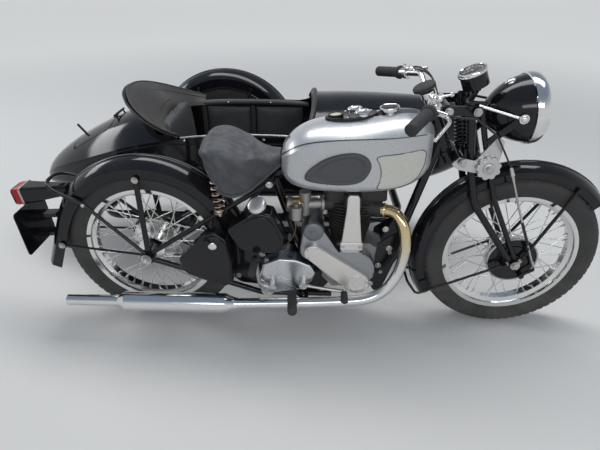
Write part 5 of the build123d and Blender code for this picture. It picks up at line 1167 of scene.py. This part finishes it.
# Speedometer: the black drum is the frame's own. It has a turned and plated bezel, and a dark dial with
# pale marks round its edge and a needle.
dress(black_enamel, "speedometer")
dial_centre, dial_way = np.array([1118.0, 0, 984.0]), unit((-0.42, 0, 0.91))
dial_side = np.array([0, -1.0, 0])
dial_up = np.cross(dial_way, dial_side)
bezel_profile = ((14, 45.2), (15, 47), (23, 47), (27, 44.5), (28, 41), (26, 39), (22.2, 39))
bezel = turned(dial_centre, dial_way, bezel_profile, steps=64)
piece("speedometer_bezel", [bezel], chrome_plate, "steering")
dial_black = finish("dial_black", (0.03, 0.032, 0.036), (0.05, 0.052, 0.056), (0.3, 0.42), dust=0.0)
dial_face = turned(dial_centre, dial_way, ((22.6, 40), (22.6, 0)), steps=64)
piece("speedometer_dial", [dial_face], dial_black, "steering")
marks_round, mark_reach, mark_level, needle_level = 27, 130, 23.2, 24.2
marks = []
for number, angle in enumerate(np.radians(np.linspace(-mark_reach, mark_reach, marks_round))):
    out_way = dial_up * np.cos(angle) + dial_side * np.sin(angle)
    inner, thickness = (31, 0.5) if number % 2 else (27, 0.9)
    mark = dial_centre + dial_way * mark_level + out_way * np.linspace(inner, 35, 3)[:, None]
    marks.append(swept(mark, radius=thickness, sides=6, guide=dial_way))
needle = dial_centre + dial_way * needle_level + dial_up * np.linspace(-30, 8, 4)[:, None]
marks.append(swept(needle, radius=0.9, sides=6, guide=dial_way))
marks.append(turned(dial_centre, dial_way, ((22.8, 0), (22.8, 4), (25, 3.4), (25, 0)), steps=20))
piece("speedometer_marks", marks, dial_cream, "steering")

# Headlamp fittings: a small domed pilot lamp on top of the shell, and a plated rod on each side from the
# shell's bolt to the fork
pilot_profile = ((-6, 0), (-6, 17), (2, 17), (6, 14), (9, 9), (10, 0))
pilot = turned((1235, 0, 972), (-0.55, 0, 0.83), pilot_profile, steps=32)
rod_ends = [((1256, side * 108, 884), steering_point(64, 128, side * 70)) for side in (-1, 1)]
lamp_rods = [swept(np.linspace(*ends, 8), radius=4.6, sides=12) for ends in rod_ends]
piece("headlamp_fittings", [pilot] + lamp_rods, chrome_plate, "steering")

# Handlebar controls: soft ribbed grips, a bright drum and a small lever beside each of them, the steering
# damper's black knob on the stem, and thin cables that run from the left drum to the head
dress(chrome_plate, "handlebar")
dress(black_rubber, "grips")
grip_end = np.array([862.0, 350, 924])
grip_way = unit(np.array([74.0, -110, 20]))
sides_of_bar = [np.array([1.0, side, 1.0]) for side in (-1, 1)]
grip_flange = ((0, 0), (0, 18), (4, 23), (12, 24), (16, 21), (16, 0))
grip_shapes = []
for side in sides_of_bar:
    grip_ends = side * (grip_end - 2 * grip_way), side * (grip_end + 128 * grip_way)
    grip_shapes += [
        ribbed_rubber(*grip_ends, radius=18.5, ribs=13),
        turned(side * (grip_end + 112 * grip_way), side * grip_way, grip_flange, steps=32),
    ]
piece("grip_rubbers", grip_shapes, black_rubber, "steering", replaces=["grips"], crease=60)
drum_profile = ((-3, 0), (-3, 19), (0, 21), (14, 21), (17, 19), (17, 14), (20, 13), (20, 0))
pivot_profile = ((-16, 0), (-16, 9), (-4, 9), (-4, 15), (4, 15), (6, 12), (6, 0))
tip_profile = ((-7, 0), (-5, 5), (0, 7), (5, 5), (7, 0))
control_shapes = []
for side in sides_of_bar:
    drum = side * (grip_end + 150 * grip_way)
    pivot = side * np.array([962.0, 196, 968])
    tip = side * np.array([1006.0, 176, 974])
    control_shapes += [
        turned(drum, side * grip_way, drum_profile, steps=36),
        turned(pivot, (0.1, 0, 1), pivot_profile, steps=28),
        swept(np.linspace(pivot + (0, 0, 3), tip, 6), radius=3.4, sides=12, guide=(0, 0, 1)),
        turned(tip, (1, 0, 0), tip_profile, steps=16),
    ]
    for along in (-10, 22):
        clamp_bolt = side * (drum * side + (along * 0.55, -along * 0.82, 22))
        control_shapes += hex_heads([clamp_bolt], (0, 0, 1), flats=10, height=7)
piece("bar_controls", control_shapes, chrome_plate, "steering", crease=30)
stem_knob = (
    (150, 0), (150, 13), (158, 13), (160, 33), (163, 37), (172, 37.5), (176, 34), (177, 30), (177, 0),
)
stem_way = unit((-rake_sine, 0, rake_cosine))
damper_knob = turned(steering_point(0), stem_way, stem_knob, steps=60)
piece("steering_damper_knob", [damper_knob], black_rubber, "steering", crease=35)
cable_routes = [
    [(950, 222, 962), (972, 160, 985), (1000, 84, 978), (1014, 30, 940), (1018, 14, 900)],
    [(958, 214, 958), (984, 150, 976), (1010, 76, 964), (1020, 34, 925), (1022, 22, 895)],
]
bar_cables = [swept(smooth_line(route), radius=2.8, sides=10, guide=(1, 0, 0)) for route in cable_routes]
piece("bar_cables", bar_cables, black_rubber, "steering")

# Tail lamp: a moulded red lens with a bevelled face, held by a thin bright ring at the end of the black
# housing, which is the frame's own
dress(black_enamel, "tail_lamp", "number_plate")
lens_red = finish("lens_red", (0.5, 0.006, 0.012), (0.36, 0.004, 0.008), (0.2, 0.3), dust=0.0)
lamp_back = unit((-1.0, 0, -0.12))
lamp_rise = np.array([-0.12, 0, 1.0]) / np.hypot(1, 0.12)
lens_place = np.array([-446.0, 0, 544])


def lens_box(levels, cut):
    """Rings of a rounded rectangle: each level is a distance back, a half width and a half height."""
    rings = []
    for back, half_wide, half_high in levels:
        flat = rounded(np.array([(-1, -1), (1, -1), (1, 1), (-1, 1)]) * (half_wide, half_high), cut)
        across, up = flat[:, :1] * np.array([0, 1.0, 0]), flat[:, 1:] * lamp_rise
        rings.append(lens_place + back * lamp_back + across + up)
    count = len(rings[0])
    first_cap = np.arange(count)[None]
    last_cap = first_cap + count * (len(levels) - 1)
    return np.concatenate(rings), grid_faces(len(levels), count, round_columns=True), first_cap, last_cap


lens_levels = ((2, 41, 32), (8, 41, 32), (26, 41, 32), (35, 31, 22))
piece("tail_lens", [lens_box(lens_levels, cut=11)], lens_red, crease=25, bevel=1.0)
ring_levels = ((-3, 43, 34), (4, 43.5, 34.5), (4, 40, 31))
piece("tail_lens_ring", [lens_box(ring_levels, cut=12)], bright_steel, bevel=0.6)

# Sidecar chassis: steel tubes brazed into lugs and bolted to the motorcycle through forged fittings, all
# black enamelled and all the frame's own
dress(black_enamel, "chassis_near_rail", "chassis_far_rail", "chassis_cross", "chassis_fittings")

# Sidecar body: black enamelled sheet steel, the frame's own. A half-round moulding runs along each flank,
# and the cockpit's near edge has a bright bead and plated studs that hold the trim.
dress(black_enamel, "sidecar_body")
body_middle, cockpit_half = 598.0, 276.0
flank_line = np.array([
    (-640, 482, 366), (-575, 449, 400.5), (-471, 402, 465), (-368, 371, 520), (-219, 341, 576),
    (-65, 326, 610), (53, 320.4, 620), (300, 318.3, 626), (550, 318.3, 628), (700, 324, 626), (820, 336, 620),
])
flank_line[:, 1] += 0.5
far_line = flank_line * (1, -1, 1) + (0, 2 * body_middle, 0)
moulding = [swept(smooth_line(line, rounds=2), radius=3.4, sides=10) for line in (flank_line, far_line)]
piece("body_mouldings", moulding, black_enamel)
rim_line = np.array([
    (57, 324, 646), (100, 324.5, 651), (200, 324.5, 659.5), (300, 324.5, 663.5), (400, 324.5, 664),
    (500, 325, 662), (588, 328, 657),
])
bead = swept(smooth_line(rim_line, rounds=2), radius=4.4, sides=12)
piece("cockpit_bead", [bead], bright_steel)
stud_places = [(75, 317.5, 638), (240, 317.5, 644), (410, 317.5, 646), (565, 319, 642)]
rim_studs = dome_heads(stud_places, (0, -1, 0.2), radius=5, height=3.5)
piece("cockpit_studs", [rim_studs], chrome_plate)


# Cockpit trim: padded panels of black leathercloth on both side walls, between dark pillars, and a padded
# roll with two bright studs along the far edge
def padded_panel(start, end, low, high, side):
    """A pad on a side wall: a rectangle of x and z whose thickness falls to its edges like a flattened
    cosine, with faint waves where the cloth is loose."""
    edge_thickness, padding = 3, 11
    x, z = np.meshgrid(np.linspace(start, end, 60), np.linspace(low, high, 40), indexing="ij")
    across, up = (x - start) / (end - start) * 2 - 1, (z - low) / (high - low) * 2 - 1
    swell = (1 - np.abs(across) ** 8) * (1 - np.abs(up) ** 6)
    swell = swell + 0.06 * np.sin(x / 27 + 1.2 * np.sin(z / 33)) * (1 - across ** 2) * (1 - up ** 2)
    wall = body_middle + side * cockpit_half
    points = np.stack([x, wall - side * (edge_thickness + padding * swell), z], -1)
    return points, grid_faces(*x.shape)


seat_leather = finish(
    "seat_leather", (0.03, 0.031, 0.033), (0.075, 0.077, 0.082), (0.45, 0.6), dust=0.12, coarse=9, height=0.3,
)
panels = [
    padded_panel(start, end, low=446, high=624, side=side)
    for side in (-1, 1) for start, end in ((60, 284), (316, 560))
]
panel_object = piece("cockpit_panels", panels, seat_leather, crease=70)
backing = panel_object.modifiers.new("backing", "SOLIDIFY")
backing.thickness = 0.003
pillar_depth = 20
pillars = []
for side in (-1, 1):
    wall = body_middle + side * cockpit_half
    for x in (44, 300):
        pillar_outline = [(x - 13, 440), (x + 13, 440), (x + 11, 632), (x - 11, 632)]
        pillars.append(plate(pillar_outline, wall, wall - side * pillar_depth))
piece("cockpit_pillars", pillars, black_rubber, bevel=3)
roll_line = np.array([(50, 862, 642), (120, 864, 648), (300, 865, 651), (480, 864, 650), (590, 858, 642)])
roll = swept(smooth_line(roll_line, rounds=3), radius=14, sides=20)
piece("cockpit_roll", [roll], seat_leather)
roll_studs = [dome_heads([(174, 850, 650), (394, 850.5, 651)], (0, -1, 0.1), radius=5, height=3.5)]
piece("cockpit_roll_studs", roll_studs, bright_steel)

# Collar: a wide flared lip of sheet steel round the back of the cockpit, rolled over at its rim and lined
# with leathercloth on the side that faces the passenger. The lining has piped edges and one piped seam,
# and a padded hoop in the same leathercloth arches over the front of the cockpit.
collar_turn = np.radians(np.linspace(-88, 88, 96))


def collar_edge(behind, beside, high, low):
    """A line round the collar: an ellipse in plan, highest at the back, where the cosine of the angle from
    the back, raised to 1.3, is greatest."""
    out = behind * beside / np.hypot(beside * np.cos(collar_turn), behind * np.sin(collar_turn))
    up = low + (high - low) * np.cos(collar_turn) ** 1.3
    return np.stack([60 - out * np.cos(collar_turn), body_middle - out * np.sin(collar_turn), up], 1)


def collar_shell(section):
    """A closed skin through the collar's lines: each point of the section is a line's distance behind and
    beside the middle and its height at the back and at the sides. Both ends are capped."""
    corners = smooth_line(section, closed=True, rounds=2)
    lines = np.stack([collar_edge(*corner) for corner in corners])
    rows, columns = lines.shape[:2]
    ends = np.stack([np.arange(rows) * columns, np.arange(rows) * columns + columns - 1])
    return lines.reshape(-1, 3), grid_faces(rows, columns, round_rows=True), ends


dress(black_enamel, "coaming")
steel_section = (
    (122, 258, 664, 628), (150, 268, 696, 638), (190, 281, 736, 648), (240, 294, 768, 657),
    (282, 304, 790, 665), (298, 309, 797, 667), (306, 311, 790, 663), (300, 309, 781, 659),
    (270, 300, 771, 655), (220, 288, 744, 648), (170, 273, 706, 640), (134, 260, 668, 628),
)
lining_section = (
    (108, 252, 668, 630), (117, 257, 704, 641), (138, 264, 726, 649), (186, 280, 755, 659.5),
    (236, 293, 785, 667), (276, 302, 800, 671.5), (278, 303, 794, 667), (236, 292, 776, 661),
    (186, 279, 742, 653), (148, 266.5, 703, 643),
)
collar_hide = finish(
    "collar_hide", (0.026, 0.024, 0.023), (0.05, 0.046, 0.043), (0.42, 0.56), dust=0.0, coarse=18, fine=300,
    height=0.2,
)
piece(
    "collar", [collar_shell(steel_section)], black_enamel, replaces=["coaming"],
    crease=60,
)
collar_lining = piece(
    "collar_lining", [collar_shell(lining_section)], collar_hide, crease=60,
)
piping = [swept(collar_edge(*line), radius=size, sides=12) for line, size in (
    ((279, 302.5, 798, 671), 4.5), ((204, 284.5, 764, 663), 2.6), ((110, 253, 676, 634), 4.5),
)]
piece("collar_piping", piping, collar_hide)
hoop_line = [
    (600, 352, 694), (614, 420, 738), (620, 520, 766), (620, 676, 766), (614, 776, 738), (600, 844, 694),
]
piece("front_hoop", [swept(smooth_line(hoop_line), radius=11, sides=20)], collar_hide)

# Locker lid: pressed steel, the frame's own, hinged at its front. A short enamelled bar stands up from its
# rear edge as a handle.
dress(black_enamel, "locker_lid")
handle_line = np.linspace((-476.5, 598, 556), (-513, 598, 606), 8)
lid_handle = swept(handle_line, radius=5.8, sides=12, guide=(0, 1, 0))
piece("locker_handle", [lid_handle], black_enamel, "locker_lid")


# Sidecar seat: a sprung cushion and a back rest in black hide, sewn in flutes that run fore and aft on the
# tops of the cushion and of the back rest
def pillow(low, high, flutes, lean=0.0):
    """A closed cushion between two corners: a box whose faces bulge, by raising each direction to a low
    power before it is scaled, with flutes that are waves across its width. The top may lean back."""
    depth = 7.0
    u = np.linspace(-np.pi / 2, np.pi / 2, 46)[:, None]
    v = np.linspace(0, 2 * np.pi, 220, endpoint=False)[None]

    def boxy(value, power):
        """A sine or cosine raised to a power below one, with its sign kept, which squares the section."""
        return np.sign(value) * np.abs(value) ** power

    x = boxy(np.cos(u), 0.3) * boxy(np.cos(v), 0.34)
    y = boxy(np.cos(u), 0.3) * boxy(np.sin(v), 0.34)
    z = boxy(np.sin(u), 0.42) + 0 * v
    low, high = np.asarray(low, float), np.asarray(high, float)
    middle, half = (low + high) / 2, (high - low) / 2
    points = middle + np.stack([x, y, z], -1) * (half - (0, 0, depth))
    wave = np.abs(np.sin(np.pi * flutes * (y + 1) / 2)) ** 0.6
    crown = (1 - np.abs(x) ** 4) * (1 - np.abs(y) ** 6)
    points[..., 2] += np.where(z > 0, depth * wave * crown, 0)
    points[..., 0] += lean * (points[..., 2] - low[2])
    return points, grid_faces(*x.shape, round_columns=True)


dress(seat_leather, "seat")
cushion = piece(
    "seat_cushion", [pillow((-34, 364, 392), (294, 832, 482), flutes=7)], seat_leather,
    crease=75, replaces=["seat"],
)
back_rest = piece(
    "seat_back_rest", [pillow((-30, 400, 396), (22, 796, 684), flutes=6, lean=-0.09)], seat_leather,
    crease=75,
)
